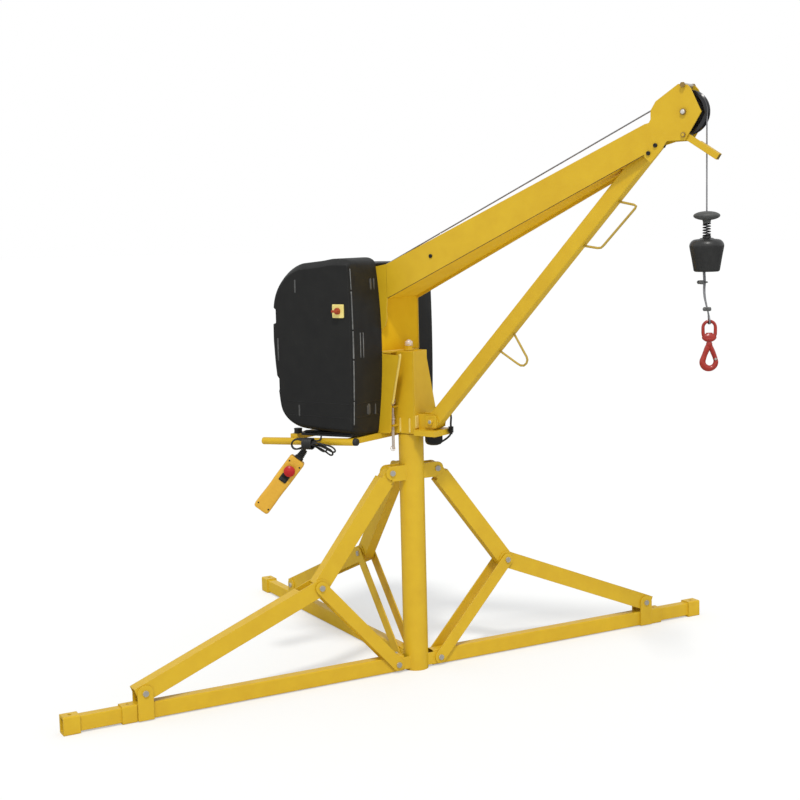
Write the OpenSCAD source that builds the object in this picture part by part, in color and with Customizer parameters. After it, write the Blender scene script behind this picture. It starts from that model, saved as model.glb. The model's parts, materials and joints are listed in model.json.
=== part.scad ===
// Builders hoist: a swivel column hoist on a folding three leg stand.
// Z is up, the ground is Z = 0, the mast axis is the Z axis, the boom points along +X.

/* [Stand] */
// outside diameter of the round mast
mast_d = 88.9; // [60:0.1:140]
// height of the shoulder that the head turns on
shoulder_z = 861; // [600:1:1200]
// turn of the stand about the mast, seen from the boom
stand_turn = 64; // [-180:1:180]
// distance from the mast to the end of the side legs
side_leg_reach = 1300; // [1180:5:1430]
// distance from the mast to the end of the rear leg
rear_leg_reach = 1350; // [1180:5:1430]
// height of the elbow pin of each leg
elbow_z = 353; // [250:1:450]
// distance of the elbow pin from the mast axis
elbow_r = 381; // [300:1:480]

/* [Head and boom] */
// side of the square head tube
head_side = 90; // [80:1:120]
// top of the head tube
head_top_z = 1153; // [1000:1:1300]
// half of the width of the boom at its root
root_half = 95; // [60:1:130]
// half of the width of the boom at its tip
tip_half = 32; // [25:1:60]
// thickness of the boom plates
plate_t = 4; // [2:0.5:8]
// slope of the boom from the horizontal
boom_slope = 25.2; // [10:0.1:45]

/* [Rope and hook] */
// diameter of the wire rope
rope_d = 5; // [3:0.5:8]
// distance of the sheave axle from the mast axis
axle_x = 1057; // [800:1:1300]
// height of the sheave axle
axle_z = 1911; // [1500:1:2200]
// radius of the rope line on the sheave
sheave_r = 62; // [40:1:90]
// largest diameter of the weight
weight_d = 105; // [70:1:150]

/* [Winch] */
// width of the near half of the cover
near_cover_w = 175; // [100:1:250]
// width of the far half of the cover
far_cover_w = 134; // [80:1:250]
// most forward place of both halves of the cover
cover_front_x = -48; // [-90:1:-30]
// diameter of the frame tubes under the cover
frame_tube_d = 26; // [20:1:40]

/* [View] */
// node to show

/* [Hidden] */
$fn = 48;
// stand
spigot_d = 60;
spigot_top = 1143;
leg_z = 31;
beam_h = 55;
beam_w = 40;
beam_wall = 2;
inner_h = 50;
inner_w = 35;
collar_h = 60;
foot_h = 62;
foot_w = 48;
low_r = 87;
up_r = 92;
up_z = 725;
bracket_r = 1027;
bracket_z = 94;
strap_l = 54;
strap_r = bracket_r - strap_l / 2;
pin_d = 12;
hole_d = 12.6;
channel_w = 46;
channel_h = 60;
upper_w = 38;
collar_r = 1056;
collar_l = 50;
foot_l = 55;
lug_in = 20.3;
lug_t = 5;
strut_in = 25.6;
strut_t = 5;
strut_w = 44;
// boom
boom_root_x = -21;
low_root_z = 1341;
column_rear_x = -215;
slope = tan(boom_slope);
taper = (root_half - tip_half) / (axle_x - boom_root_x);
run_slope = 0.4576;
run_z0 = axle_z + sheave_r / cos(atan(run_slope)) - run_slope * axle_x;
drop_x = axle_x + sheave_r;
rope_end_x = -160;
lock_x = -33;
lock_y = -62;
foot_x = 106;
foot_z = 906;
tray_l = 90;
brace_top_x = 940;
brace_top_z = 1812;
brace_w = 40;
brace_h = 50;
lever_z = 1842;
top_bolt = [axle_x, 1991];
brace_bolts = [[967, 1815], [944, 1792]];
brace_len = norm([brace_top_x - foot_x, brace_top_z - foot_z]);
brace_tilt = atan2(brace_top_z - foot_z, brace_top_x - foot_x);
// hook train, heights of its faces
disc_z = 1597;
spring_top = 1575;
spring_low = 1534;
weight_top = 1530;
weight_low = 1427;
eye_z = 1275;
swivel_z = 1212;
hook_z = 1150;
train_turn = 35;
hook_off = 8;
tail = [[-8, 1427, 30], [-7, 1410, 32], [-6.5, 1395, 35], [-7.5, 1372, 42], [-6, 1350, 52], [-2, 1330, 64],
  [2, 1313, 76], [5, 1300, 84]];
// frame
tube_front = [-62, 854.5];
tube_back = [-472, 832.5];
bar_low = 846;
bar_h = 20;
bar_top = bar_low + bar_h;
front_bar_x = -93;
rear_bar_x = -349;
bar_w = 30;
near_tube_y = -250;
far_tube_y = 200;
// cords
pendant_top = [-286, -285, 785];
pendant_turn = 35.4;
pendant_tilt = 38.1;
lead_in = [[-198, -262, 875], [-198, -262.5, 868], [-198, -264, 861], [-200, -268, 855], [-205, -274, 852],
  [-210, -280, 854]];
lead_out = [[-243, -297, 828], [-248, -292, 822], [-256, -283, 818], [-263, -276, 816], [-269, -273, 812],
  [-272, -275, 808]];
supply = [[-57, 122, 925], [-48, 121, 926], [-36, 118, 928], [-22, 114, 930], [-6, 109, 932], [10, 104, 934],
  [24, 102, 936], [40, 98, 938], [54, 91, 940], [67, 80, 943], [80, 66, 946], [94, 52, 948], [108, 46, 949],
  [122, 41, 948], [134, 37, 944], [143, 34, 937], [149, 32, 929], [152, 31, 920], [152, 30, 910], [151, 30, 899],
  [151, 30, 888], [152, 30, 876], [151, 30, 864], [146, 29, 854], [138, 27, 846], [129, 24, 839], [120, 20, 833],
  [113, 16, 829]];

yellow = [0.84, 0.69, 0.17];
dark = [0.2, 0.2, 0.2];
zinc = [0.75, 0.75, 0.72];
red = [0.8, 0.1, 0.08];
orange = [0.9, 0.6, 0.15];

// shapes shared by several pieces

// round bar along Y at a place in the XZ plane
module bar_y(x, z, d, y0, y1) {
  translate([x, y1, z]) rotate([90, 0, 0]) cylinder(d = d, h = y1 - y0);
}

// flat outline in the XZ plane made thick along Y
module plate_y(y0, y1) {
  translate([0, y1, 0]) rotate([90, 0, 0]) linear_extrude(y1 - y0) children();
}

// round bar between two places in the plane Y = y
module bar_between(a, b, d, y = 0) {
  translate([a[0], y, a[1]])
    rotate([0, 90 - atan2(b[1] - a[1], b[0] - a[0]), 0])
      cylinder(d = d, h = norm(b - a));
}

// rectangle about the origin with round corners
module round_rect(w, h, r) {
  polygon([for (q = [[1, 1, 0], [-1, 1, 90], [-1, -1, 180], [1, -1, 270]]) for (a = [0 : 22.5 : 90])
    [q[0] * (w / 2 - r) + r * cos(q[2] + a), q[1] * (h / 2 - r) + r * sin(q[2] + a)]]);
}

// bar of rectangular section with round edges along +X from the origin
module bar_x(l, h, w, r) {
  rotate([90, 0, 90]) linear_extrude(l) round_rect(w, h, r);
}

// rectangular tube along +X from the origin, hollow from end to end
module box_tube(l, h, w, wall, r = 4) {
  difference() {
    bar_x(l, h, w, r);
    translate([-1, 0, 0]) bar_x(l + 2, h - 2 * wall, w - 2 * wall, r - wall + 1);
  }
}

// bolt along Y with a head on each end
module bolt_y(x, z, d, head_d, y0, y1, head) {
  bar_y(x, z, d, y0, y1);
  bar_y(x, z, head_d, y1 - head, y1);
  bar_y(x, z, head_d, y0, y0 + head);
}

// swept tube through a list of points, one ring at each point
function along(p, i) = let(n = len(p) - 1, a = p[max(i - 1, 0)], b = p[min(i + 1, n)]) (b - a) / norm(b - a);
function side_of(t) = abs(t[2]) > 0.9 ? cross(t, [0, 1, 0]) : cross(t, [0, 0, 1]);
function unit(v) = v / norm(v);
function ring(p, t, s, r, n) = [for (k = [0 : n - 1])
  p + r * (cos(360 * k / n) * s + sin(360 * k / n) * cross(t, s))];
function sides_along(p, i, s) = i >= len(p) ? [] : let(t = along(p, i), u = unit(s - (s * t) * t))
  concat([u], sides_along(p, i + 1, u));
module swept(p, r, n = 8) {
  s = sides_along(p, 0, unit(side_of(along(p, 0))));
  m = len(p);
  pts = [for (i = [0 : m - 1]) each ring(p[i], along(p, i), s[i], r, n)];
  walls = [for (i = [0 : m - 2]) for (k = [0 : n - 1])
    [i * n + k, i * n + (k + 1) % n, (i + 1) * n + (k + 1) % n, (i + 1) * n + k]];
  ends = [[for (k = [n - 1 : -1 : 0]) k], [for (k = [0 : n - 1]) (m - 1) * n + k]];
  polyhedron(points = pts, faces = concat(walls, ends), convexity = 6);
}

// stand

module mast() {
  color(yellow) {
    difference() {
      cylinder(d = mast_d, h = shoulder_z - 3);
      translate([0, 0, 5]) cylinder(d = mast_d - 8, h = shoulder_z - 17);
    }
    translate([0, 0, shoulder_z - 3]) cylinder(d = 80, h = 3);
    translate([0, 0, shoulder_z]) cylinder(d = spigot_d, h = spigot_top - shoulder_z);
    for (k = [0 : 2]) rotate([0, 0, stand_turn + 90 * k]) {
      for (s = [0, 1]) mirror([0, s, 0]) {
        difference() {
          plate_y(lug_in, lug_in + lug_t) union() {
            translate([36, leg_z - 22]) square([low_r - 36, 44]);
            translate([low_r, leg_z]) circle(d = 44);
          }
          bar_y(low_r, leg_z, hole_d, 0, 60);
          cylinder(d = mast_d - 2, h = 200);
        }
        difference() {
          plate_y(lug_in, lug_in + lug_t) union() {
            translate([36, up_z - 30]) square([up_r - 36, 54]);
            translate([up_r, up_z]) circle(d = 48);
          }
          bar_y(up_r, up_z, hole_d, 0, 60);
          translate([0, 0, up_z - 60]) cylinder(d = mast_d - 2, h = 120);
        }
      }
    }
  }
}

module pivot_bolt() {
  color(zinc) {
    translate([0, 0, spigot_top]) cylinder(d = 20, h = head_top_z + 1 - spigot_top);
    translate([0, 0, head_top_z + 1]) cylinder(d = 36, h = 4);
    translate([0, 0, head_top_z + 5]) cylinder(d = 30, h = 18, $fn = 6);
  }
}

// floor beam with its collar and the U strap that takes the outer link
module beam() {
  color(yellow) {
    difference() {
      union() {
        translate([60, 0, leg_z]) bar_x(collar_r + collar_l - 60, beam_h, beam_w, 4);
        translate([collar_r, 0, leg_z]) bar_x(collar_l, collar_h, beam_w + 6, 5);
        translate([strap_r, -28.5, leg_z - beam_h / 2]) cube([strap_l, 57, beam_h]);
      }
      translate([59, 0, leg_z]) bar_x(collar_r + collar_l, beam_h - 2 * beam_wall, beam_w - 2 * beam_wall, 2);
      bar_y(low_r, leg_z, hole_d, -60, 60);
      translate([collar_r + collar_l / 2, 0, leg_z]) cylinder(d = 11, h = 60);
    }
    for (s = [0, 1]) mirror([0, s, 0]) difference() {
      plate_y(23.5, 28.5) union() {
        translate([strap_r, leg_z + beam_h / 2 - 1]) square([strap_l, bracket_z - leg_z - beam_h / 2 + 1]);
        translate([bracket_r, bracket_z]) circle(d = strap_l);
      }
      bar_y(bracket_r, bracket_z, hole_d, 0, 60);
    }
  }
}

// sliding inner tube with its end piece
module extension(reach) {
  color(yellow) difference() {
    union() {
      translate([reach - foot_l - 400, 0, leg_z]) bar_x(400, inner_h, inner_w, 3);
      translate([reach - foot_l, 0, leg_z]) bar_x(foot_l, foot_h, foot_w, 5);
    }
    translate([reach - foot_l - 401, 0, leg_z]) bar_x(foot_l + 402, inner_h - 5, inner_w - 5, 2);
    translate([reach - foot_l / 2, 0, leg_z]) cylinder(d = 13, h = 60);
  }
}

// channel from the bracket up to the elbow, open below
module outer_link() {
  dx = bracket_r - elbow_r;
  dz = elbow_z - bracket_z;
  l = norm([dx, dz]);
  inside = channel_w - 7;
  color(yellow) difference() {
    translate([bracket_r, 0, bracket_z]) rotate([0, 180 + atan2(dz, dx), 0])
      mirror([0, 0, 1]) difference() {
        plate_y(-channel_w / 2, channel_w / 2) union() {
          translate([-27, -channel_h / 2]) square([l + 27, channel_h]);
          translate([l, 0]) circle(d = channel_h);
        }
        translate([-60, -inside / 2, -channel_h / 2 - 1]) cube([l + 120, inside, channel_h - 2.5]);
        translate([l - 75, -inside / 2, -60]) cube([140, inside, 120]);
      }
    bar_y(elbow_r, elbow_z, hole_d, -60, 60);
    bar_y(bracket_r, bracket_z, hole_d, -60, 60);
    translate([bracket_r - 60, -40, 0]) cube([120, 80, leg_z + beam_h / 2 + 1.5]);
  }
}

// box link from the elbow up to the mast
module upper_link() {
  dx = elbow_r - up_r;
  dz = up_z - elbow_z;
  l = norm([dx, dz]);
  color(yellow) difference() {
    translate([elbow_r, 0, elbow_z]) rotate([0, 180 + atan2(dz, dx), 0]) difference() {
      plate_y(-upper_w / 2, upper_w / 2) union() {
        translate([0, -channel_h / 2]) square([l - 34, channel_h]);
        circle(d = channel_h - 8);
        translate([l - 40, -22]) square([40, 44]);
        translate([l, 0]) circle(d = 44);
      }
      translate([30, -upper_w / 2 + 3, -channel_h / 2 + 3])
        cube([l - 75, upper_w - 6, channel_h - 6]);
    }
    bar_y(elbow_r, elbow_z, hole_d, -60, 60);
    bar_y(up_r, up_z, hole_d, -60, 60);
  }
}

// pair of flat bars from the elbow down to the foot of the mast, with a spacer at each elbow
module struts() {
  dx = elbow_r - low_r;
  dz = elbow_z - leg_z;
  l = norm([dx, dz]);
  color(yellow) for (s = [0, 1]) mirror([0, s, 0]) difference() {
    union() {
      translate([low_r, 0, leg_z]) rotate([0, -atan2(dz, dx), 0])
        plate_y(strut_in, strut_in + strut_t) union() {
          translate([0, -strut_w / 2]) square([l, strut_w]);
          circle(d = strut_w);
          translate([l, 0]) circle(d = strut_w);
        }
      bar_y(elbow_r, elbow_z, 26, channel_w / 2 + 0.1, strut_in + 1);
    }
    bar_y(elbow_r, elbow_z, hole_d, 0, 60);
    bar_y(low_r, leg_z, hole_d, 0, 60);
  }
}

// the four pins of one leg
module pins() {
  bolt_y(bracket_r, bracket_z, pin_d, 20, -34, 34, 5.4);
  bolt_y(elbow_r, elbow_z, pin_d, 20, -36, 36, 5.3);
  bolt_y(low_r, leg_z, pin_d, 20, -36, 36, 5.3);
  bolt_y(up_r, up_z, pin_d, 20, -31, 31, 5.6);
}

module leg_pins() {
  color(zinc) for (k = [0 : 2]) rotate([0, 0, stand_turn + 90 * k]) pins();
}

module right_beam() { rotate([0, 0, stand_turn]) beam(); }
module right_extension() { rotate([0, 0, stand_turn]) extension(side_leg_reach); }
module right_outer_link() { rotate([0, 0, stand_turn]) outer_link(); }
module right_upper_link() { rotate([0, 0, stand_turn]) upper_link(); }
module right_struts() { rotate([0, 0, stand_turn]) struts(); }
module left_beam() { rotate([0, 0, stand_turn + 180]) beam(); }
module left_extension() { rotate([0, 0, stand_turn + 180]) extension(side_leg_reach); }
module left_outer_link() { rotate([0, 0, stand_turn + 180]) outer_link(); }
module left_upper_link() { rotate([0, 0, stand_turn + 180]) upper_link(); }
module left_struts() { rotate([0, 0, stand_turn + 180]) struts(); }
module rear_beam() { rotate([0, 0, stand_turn + 90]) beam(); }
module rear_extension() { rotate([0, 0, stand_turn + 90]) extension(rear_leg_reach); }
module rear_outer_link() { rotate([0, 0, stand_turn + 90]) outer_link(); }
module rear_upper_link() { rotate([0, 0, stand_turn + 90]) upper_link(); }
module rear_struts() { rotate([0, 0, stand_turn + 90]) struts(); }

// head

module head_tube() {
  h0 = shoulder_z + 1;
  color(yellow) difference() {
    translate([-head_side / 2, -head_side / 2, h0]) cube([head_side, head_side, head_top_z - h0]);
    translate([0, 0, h0 - 1]) cylinder(d = spigot_d + 1, h = spigot_top - h0 + 2);
    translate([-head_side / 2 + 5, -head_side / 2 + 5, h0 + 40])
      cube([head_side - 10, head_side - 10, spigot_top - h0 - 80]);
    translate([0, 0, h0]) cylinder(d = 22, h = 400);
  }
  color(yellow) for (z = [888, 955]) difference() {
    translate([lock_x - 11, -head_side / 2 - 28, z]) cube([22, 28, 6]);
    translate([lock_x, lock_y, z - 1]) cylinder(d = 10.8, h = 8);
  }
}

module front_plate() {
  x0 = head_side / 2;
  color(yellow) translate([x0, 0, 0]) rotate([90, 0, 90]) linear_extrude(5)
    polygon([[-45, 866], [-45, head_top_z], [18, head_top_z], [27, head_top_z - 3],
      [33, head_top_z - 12], [94, 915], [94, 880], [80, 866]]);
}

module foot_bracket() {
  x0 = head_side / 2 + 5;
  color(yellow) {
    difference() {
      for (s = [0, 1]) mirror([0, s, 0]) plate_y(21, 26) union() {
        translate([x0, foot_z - 28]) square([foot_x - x0, 54]);
        translate([foot_x, foot_z - 1]) circle(d = 54);
      }
      bar_y(foot_x, foot_z, 14.6, -60, 60);
    }
    difference() {
      translate([x0, -55, foot_z - 48]) cube([tray_l, 110, 20]);
      translate([x0 - 1, -50, foot_z - 49]) cube([tray_l - 4, 100, 16]);
    }
  }
}

// outline of one side plate behind the bend, with or without the gusset beside the head tube
module root_outline(gusset) {
  polygon([[boom_root_x, low_root_z], [-24, 1310], [-24, 1268], [-33, 1243], [-52, 1228], [-52, 1190],
    [boom_root_x, 1190], [boom_root_x, bar_top], [-150, bar_top], [-150, 1180], [column_rear_x, 1290],
    [column_rear_x, 1440], [-60, 1452], [boom_root_x, 1459]]);
  if (gusset) polygon([[-60, 1144], [22, 1140], [26, 1136], [4, 1038], [-8, 982], [-14, 973], [-19, bar_top],
    [-60, bar_top]]);
}

// outline of one side plate in front of the bend
module boom_outline() {
  low = brace_bolts[1];
  polygon([[boom_root_x, low_root_z], [930, low_root_z + slope * (930 - boom_root_x)], low,
    [low[0] + 18.4, low[1] - 16.9], [986, 1801], [1003, 1826], [1061, 1826], [1075, 1847], [1113, 1908],
    [1079, 1980], [1069, 1991], [1040, 1995], [968, 1948], [951, 1921], [951, 1894], [945, 1884],
    [931, 1881], [boom_root_x, 1459]]);
  translate(low) circle(r = 25);
}

// floor of the boom, level behind the bend and rising in front of it
module boom_floor() {
  x1 = 838;
  z1 = low_root_z + slope * (x1 - boom_root_x);
  w1 = root_half - 1 - taper * (x1 - boom_root_x);
  intersection() {
    plate_y(-root_half, root_half) polygon([[-56, low_root_z], [boom_root_x, low_root_z], [x1, z1],
      [x1, z1 + plate_t + 1], [boom_root_x - 1, low_root_z + plate_t], [-56, low_root_z + plate_t]]);
    linear_extrude(3000) polygon([[-57, -root_half + 1], [boom_root_x, -root_half + 1], [x1, -w1],
      [x1, w1], [boom_root_x, root_half - 1], [-57, root_half - 1]]);
  }
}

module boom_arm() {
  k = atan(taper);
  inner = root_half - 1;
  color(yellow) {
    plate_y(-root_half, -root_half + plate_t) root_outline(true);
    plate_y(root_half - plate_t, root_half) union() {
      root_outline(false);
      translate([-60, 1140]) square([60 + boom_root_x, 200]);
    }
    for (s = [0, 1]) mirror([0, s, 0]) difference() {
      translate([boom_root_x, root_half, 0]) rotate([0, 0, -k]) scale([1 / cos(k), 1, 1])
        translate([-boom_root_x, 0, 0]) plate_y(-plate_t, 0) boom_outline();
      bar_y(axle_x, axle_z, 20.6, -60, 60);
      bar_y(axle_x, lever_z, hole_d, -60, 60);
      bar_y(top_bolt[0], top_bolt[1], hole_d, -60, 60);
      for (q = brace_bolts) bar_y(q[0], q[1], hole_d, -60, 60);
    }
    boom_floor();
    translate([0, 0, head_top_z]) linear_extrude(low_root_z - head_top_z + 1)
      polygon([[-56, -inner], [-52, -inner], [boom_root_x - 1, inner], [boom_root_x - 5, inner]]);
    difference() {
      translate([-110, -inner, head_top_z - 4]) cube([110 + boom_root_x, 2 * inner, 4]);
      translate([-head_side / 2, -head_side / 2, 0]) cube([head_side, head_side, head_top_z]);
    }
    translate([-50, -inner, bar_top]) cube([5, 2 * inner, 1150 - bar_top]);
  }
}

// axle of the sheave, bolt above it, stubs for the lever, bolts of the brace, bolt of the brace foot
module boom_bolts() {
  color(zinc) {
    bar_y(axle_x, axle_z, 20, -36, 36);
    bolt_y(top_bolt[0], top_bolt[1], 12, 18, -38, 38, 5);
    for (s = [0, 1]) mirror([0, s, 0]) {
      bar_y(axle_x, lever_z, 12, 18, 38);
      bar_y(axle_x, lever_z, 18, 33, 38);
    }
    bolt_y(brace_bolts[0][0], brace_bolts[0][1], 12, 14, -42, 42, 4);
    bolt_y(brace_bolts[1][0], brace_bolts[1][1], 12, 14, -43, 43, 4);
    bolt_y(foot_x, foot_z, 14, 22, -38, 38, 9);
    for (s = [0, 1]) mirror([0, s, 0]) translate([foot_x - 22, 26, foot_z - 21]) cube([44, 3, 42]);
  }
}

module sheave() {
  color(dark) translate([axle_x, 0, axle_z]) rotate([90, 0, 0]) rotate_extrude($fn = 96)
    polygon([[10.2, -14], [24, -14], [28, -7], [52, -7], [57, -12], [68, -12], [68, -9], [61, -3.2],
      [58.8, 0], [61, 3.2], [68, 9], [68, 12], [57, 12], [52, 7], [28, 7], [24, 14], [10.2, 14]]);
}

// two side bars on the stubs, joined near their free end, with the rope between them
module limit_lever() {
  color(yellow) translate([axle_x, 0, lever_z]) rotate([0, 31, 0]) difference() {
    plate_y(-24.5, 24.5) union() {
      translate([0, -12]) square([112, 24]);
      circle(d = 24);
    }
    bar_y(0, 0, hole_d, -60, 60);
    translate([-20, -18.5, -60]) cube([116, 37, 120]);
    translate([102, -18.5, -8]) cube([20, 37, 16]);
  }
}

// along the brace, with its own length as X
module on_brace() {
  translate([foot_x, 0, foot_z]) rotate([0, -brace_tilt, 0]) children();
}

module brace() {
  color(yellow) difference() {
    on_brace() translate([-14, 0, 0]) box_tube(brace_len + 34, brace_h, brace_w, 3);
    for (q = brace_bolts) bar_y(q[0], q[1], hole_d, -60, 60);
    bar_y(foot_x, foot_z, 14.6, -60, 60);
  }
}

// the space under the brace, to trim what is welded on it
module under_brace() {
  on_brace() translate([0, -10, -300 - brace_h / 2]) cube([brace_len, 20, 300]);
}

// bent wire handle under the brace
module brace_handle() {
  wire = [[800, 1653], [815, 1650], [875, 1637], [883, 1632], [879, 1625], [767, 1510], [759, 1504],
    [747, 1503], [690, 1512], [676, 1514]];
  color(yellow) intersection() {
    swept([for (w = wire) [w[0], 0, w[1]]], 4, 10);
    under_brace();
  }
}

module brace_loop() {
  wire = [[425, 1232], [431, 1222], [470, 1159], [479, 1145], [482, 1134], [478, 1123], [468, 1115],
    [455, 1115], [441, 1122], [375, 1162], [366, 1168]];
  color(yellow) intersection() {
    swept([for (w = wire) [w[0], 0, w[1]]], 4, 8);
    under_brace();
  }
}

// winch

// side of the moulded cover: two large round corners behind, a slightly bowed front
module cover_outline() {
  bow_r = 1500;
  intersection() {
    polygon(concat([[-40, 870]],
      [for (a = [270 : -10 : 190]) [-262 + 130 * cos(a), 1000 + 130 * sin(a)]],
      [[-400, 1040], [-407, 1120], [-410, 1198], [-409, 1270]],
      [for (a = [175 : -8.3 : 92]) [-231 + 175 * cos(a), 1300 + 175 * sin(a)]],
      [[-167, 1489], [-112, 1496], [-86, 1493], [-72, 1484], [-64, 1466], [-40, 1440]]));
    translate([cover_front_x - bow_r, 1180]) circle(r = bow_r, $fn = 180);
  }
}

// one half of the cover, from the plate of the column out to its rounded side, built towards +Y
module cover_half(w, top_z) {
  y1 = root_half + w;
  module slice(y, inset) {
    plate_y(y - 0.1, y) offset(delta = -inset) intersection() {
      cover_outline();
      translate([-500, 800]) square([500, top_z - 800]);
    }
  }
  plate_y(root_half, y1 - 25) intersection() {
    cover_outline();
    translate([-500, 800]) square([500, top_z - 800]);
  }
  hull() {
    slice(y1 - 24.9, 0);
    slice(y1 - 8, 5);
    slice(y1, 16);
  }
  plate_y(0.5, root_half) intersection() {
    cover_outline();
    translate([-500, 800]) square([500 + column_rear_x - 3, top_z - 800]);
  }
}

// near half, with the recesses of its clips
module near_cover() {
  color(dark) difference() {
    mirror([0, 1, 0]) cover_half(near_cover_w, 1500);
    for (z = [1026, 1283]) translate([-420, -root_half - near_cover_w - 1, z]) cube([24, 72, 28]);
  }
}

// far half, with the flap that closes the top between the plates
module far_cover() {
  color(dark) {
    cover_half(far_cover_w, 1461);
    translate([column_rear_x - 3, -root_half + 1, 1454]) cube([-107 - column_rear_x, 2 * root_half + 1, 7]);
  }
}

module switch_plate() {
  y0 = -root_half - near_cover_w;
  color(yellow) translate([-130, y0 - 5, 1284]) cube([52, 5, 48]);
}

module switch_knob() {
  y0 = -root_half - near_cover_w - 5;
  color(red) {
    bar_y(-104, 1308, 28, y0 - 8, y0);
    translate([-108, y0 - 20, 1295]) cube([8, 12, 26]);
  }
}

// tube of the frame under the cover, front end a little higher than the back
module frame_tube(y, d) {
  bar_between(tube_back, tube_front, d, y);
}

// bar across both tubes, its ends cut to their round
module cross_bar(x) {
  color(yellow) difference() {
    translate([x, near_tube_y + 3, bar_low]) cube([bar_w, far_tube_y - near_tube_y - 6, bar_h]);
    for (y = [near_tube_y, far_tube_y]) frame_tube(y, frame_tube_d + 0.2);
  }
}

module front_bar() { cross_bar(front_bar_x); }
module rear_bar() { cross_bar(rear_bar_x); }

module near_tube() {
  color(yellow) difference() {
    frame_tube(near_tube_y, frame_tube_d);
    frame_tube(near_tube_y, frame_tube_d - 5);
  }
}

module far_tube() {
  color(yellow) difference() {
    frame_tube(far_tube_y, frame_tube_d);
    frame_tube(far_tube_y, frame_tube_d - 5);
  }
}

module frame_plugs() {
  turn = 90 - atan2(tube_front[1] - tube_back[1], tube_front[0] - tube_back[0]);
  color(dark) for (y = [near_tube_y, far_tube_y])
    translate([tube_front[0], y, tube_front[1]]) rotate([0, turn, 0]) cylinder(d = frame_tube_d, h = 13);
}

module rubber_feet() {
  color(dark) for (y = [near_tube_y + 28, far_tube_y - 28])
    translate([rear_bar_x + bar_w / 2, y, bar_top]) cylinder(d = 30, h = 17);
}

// inlet under the bracket of the brace foot and the plug on its cable
module supply_plugs() {
  color(dark) {
    translate([98, 0, 822]) rotate_extrude() polygon([[0, 0], [20, 0], [28, 6], [31, 14], [31, 51], [0, 51]]);
    translate([151, 30, 866]) cylinder(d = 20, h = 20);
  }
}

module supply_cable() {
  color(dark) swept(supply, 3.5, 8);
}

module lock_pin() {
  color(zinc) translate([lock_x, lock_y, 0]) {
    translate([0, 0, 805]) cylinder(d = 10, h = 168);
    translate([0, 0, 968]) cylinder(d = 20, h = 5);
    translate([0, 0, 912]) cylinder(d = 15, h = 5);
  }
}

// rope and hook

module boom_rope() {
  lean = atan(run_slope);
  start = [rope_end_x, 0, run_z0 + run_slope * rope_end_x];
  color(zinc) swept(concat([start], [for (k = [0 : 12]) let(a = (90 + lean) * (1 - k / 12))
    [axle_x + sheave_r * cos(a), 0, axle_z + sheave_r * sin(a)]]), rope_d / 2, 10);
}

module drop_rope() {
  color(zinc) translate([drop_x, 0, spring_low]) cylinder(d = rope_d, h = axle_z - spring_low, $fn = 16);
}

// lens shaped rubber disc with a neck that sits on the spring
module buffer_disc() {
  hole = rope_d / 2 + 1.5;
  color(dark) translate([drop_x, 0, 0]) rotate_extrude($fn = 72) polygon(concat(
    [[hole, spring_top], [12, spring_top], [13, disc_z - 12.5]],
    [for (a = [-68 : 8 : 84]) [40.5 * cos(a), disc_z + 14 * sin(a)]],
    [[hole, disc_z + 14]]));
}

module spring() {
  h = spring_top - spring_low;
  wire = 3.6;
  turns = 4.5;
  steps = 14 * turns;
  color(zinc) translate([drop_x, 0, spring_low])
    swept([for (i = [0 : steps]) [11 * cos(360 * i / 14), 11 * sin(360 * i / 14),
      wire / 2 + (h - wire) * i / steps]], wire / 2, 8);
}

// cast weight with round shoulders and the seat of the spring
module weight() {
  half = weight_d / 2;
  color(dark) translate([drop_x, 0, 0]) rotate_extrude($fn = 72) polygon(concat(
    [[0, weight_low], [33, weight_low]],
    [for (a = [-80 : 20 : -10]) [33 + 7 * cos(a), weight_low + 7 + 7 * sin(a)]],
    [[half - 1, 1497]],
    [for (a = [0 : 15 : 90]) [half - 21 + 21 * cos(a), 1505 + 21 * sin(a)]],
    [[18, weight_top], [13, weight_top], [13, spring_low], [0, spring_low]]));
}

// the end of the rope train hangs turned about the drop
module on_train() {
  translate([drop_x, 0, 0]) rotate([0, 0, train_turn]) children();
}

// rope from the weight through the swivel eye and back up, one length
module tail_rope() {
  gap = 2.8;
  bow = 8.8;
  down = [for (q = tail) [q[0] - gap * cos(q[2]), -gap * sin(q[2]), q[1]]];
  up = [for (i = [len(tail) - 1 : -1 : 0]) let(q = tail[i]) [q[0] + gap * cos(q[2]), gap * sin(q[2]), q[1]]];
  eye = [for (a = [200 : 20 : 340]) [hook_off, bow * cos(a), eye_z + 1 + bow * sin(a)]];
  color(zinc) on_train() swept(concat(down, [[6.5, -5, 1290], [hook_off, -bow, 1278]], eye,
    [[hook_off, bow, 1278], [6.5, 5, 1290]], up), rope_d / 2, 8);
}

// saddle, U bolt and nuts of one rope clip, the rope along Z at the origin
module rope_clip() {
  translate([-13, -12, -6]) cube([7, 24, 12]);
  for (y = [-8, 8]) translate([0, y, 0]) rotate([0, -90, 0]) {
    cylinder(d = 5, h = 23);
    translate([0, 0, 13.2]) cylinder(d = 10, h = 5, $fn = 6);
  }
  rotate([0, 0, -90]) rotate_extrude(angle = 180) translate([8, 0]) circle(d = 5, $fn = 16);
}

module rope_clips() {
  color(zinc) on_train() {
    translate([-6.5, 0, 1395]) rotate([0, 0, 12]) rope_clip();
    translate([2, 0, 1313]) rotate([0, 0, 75]) rope_clip();
  }
}

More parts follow.
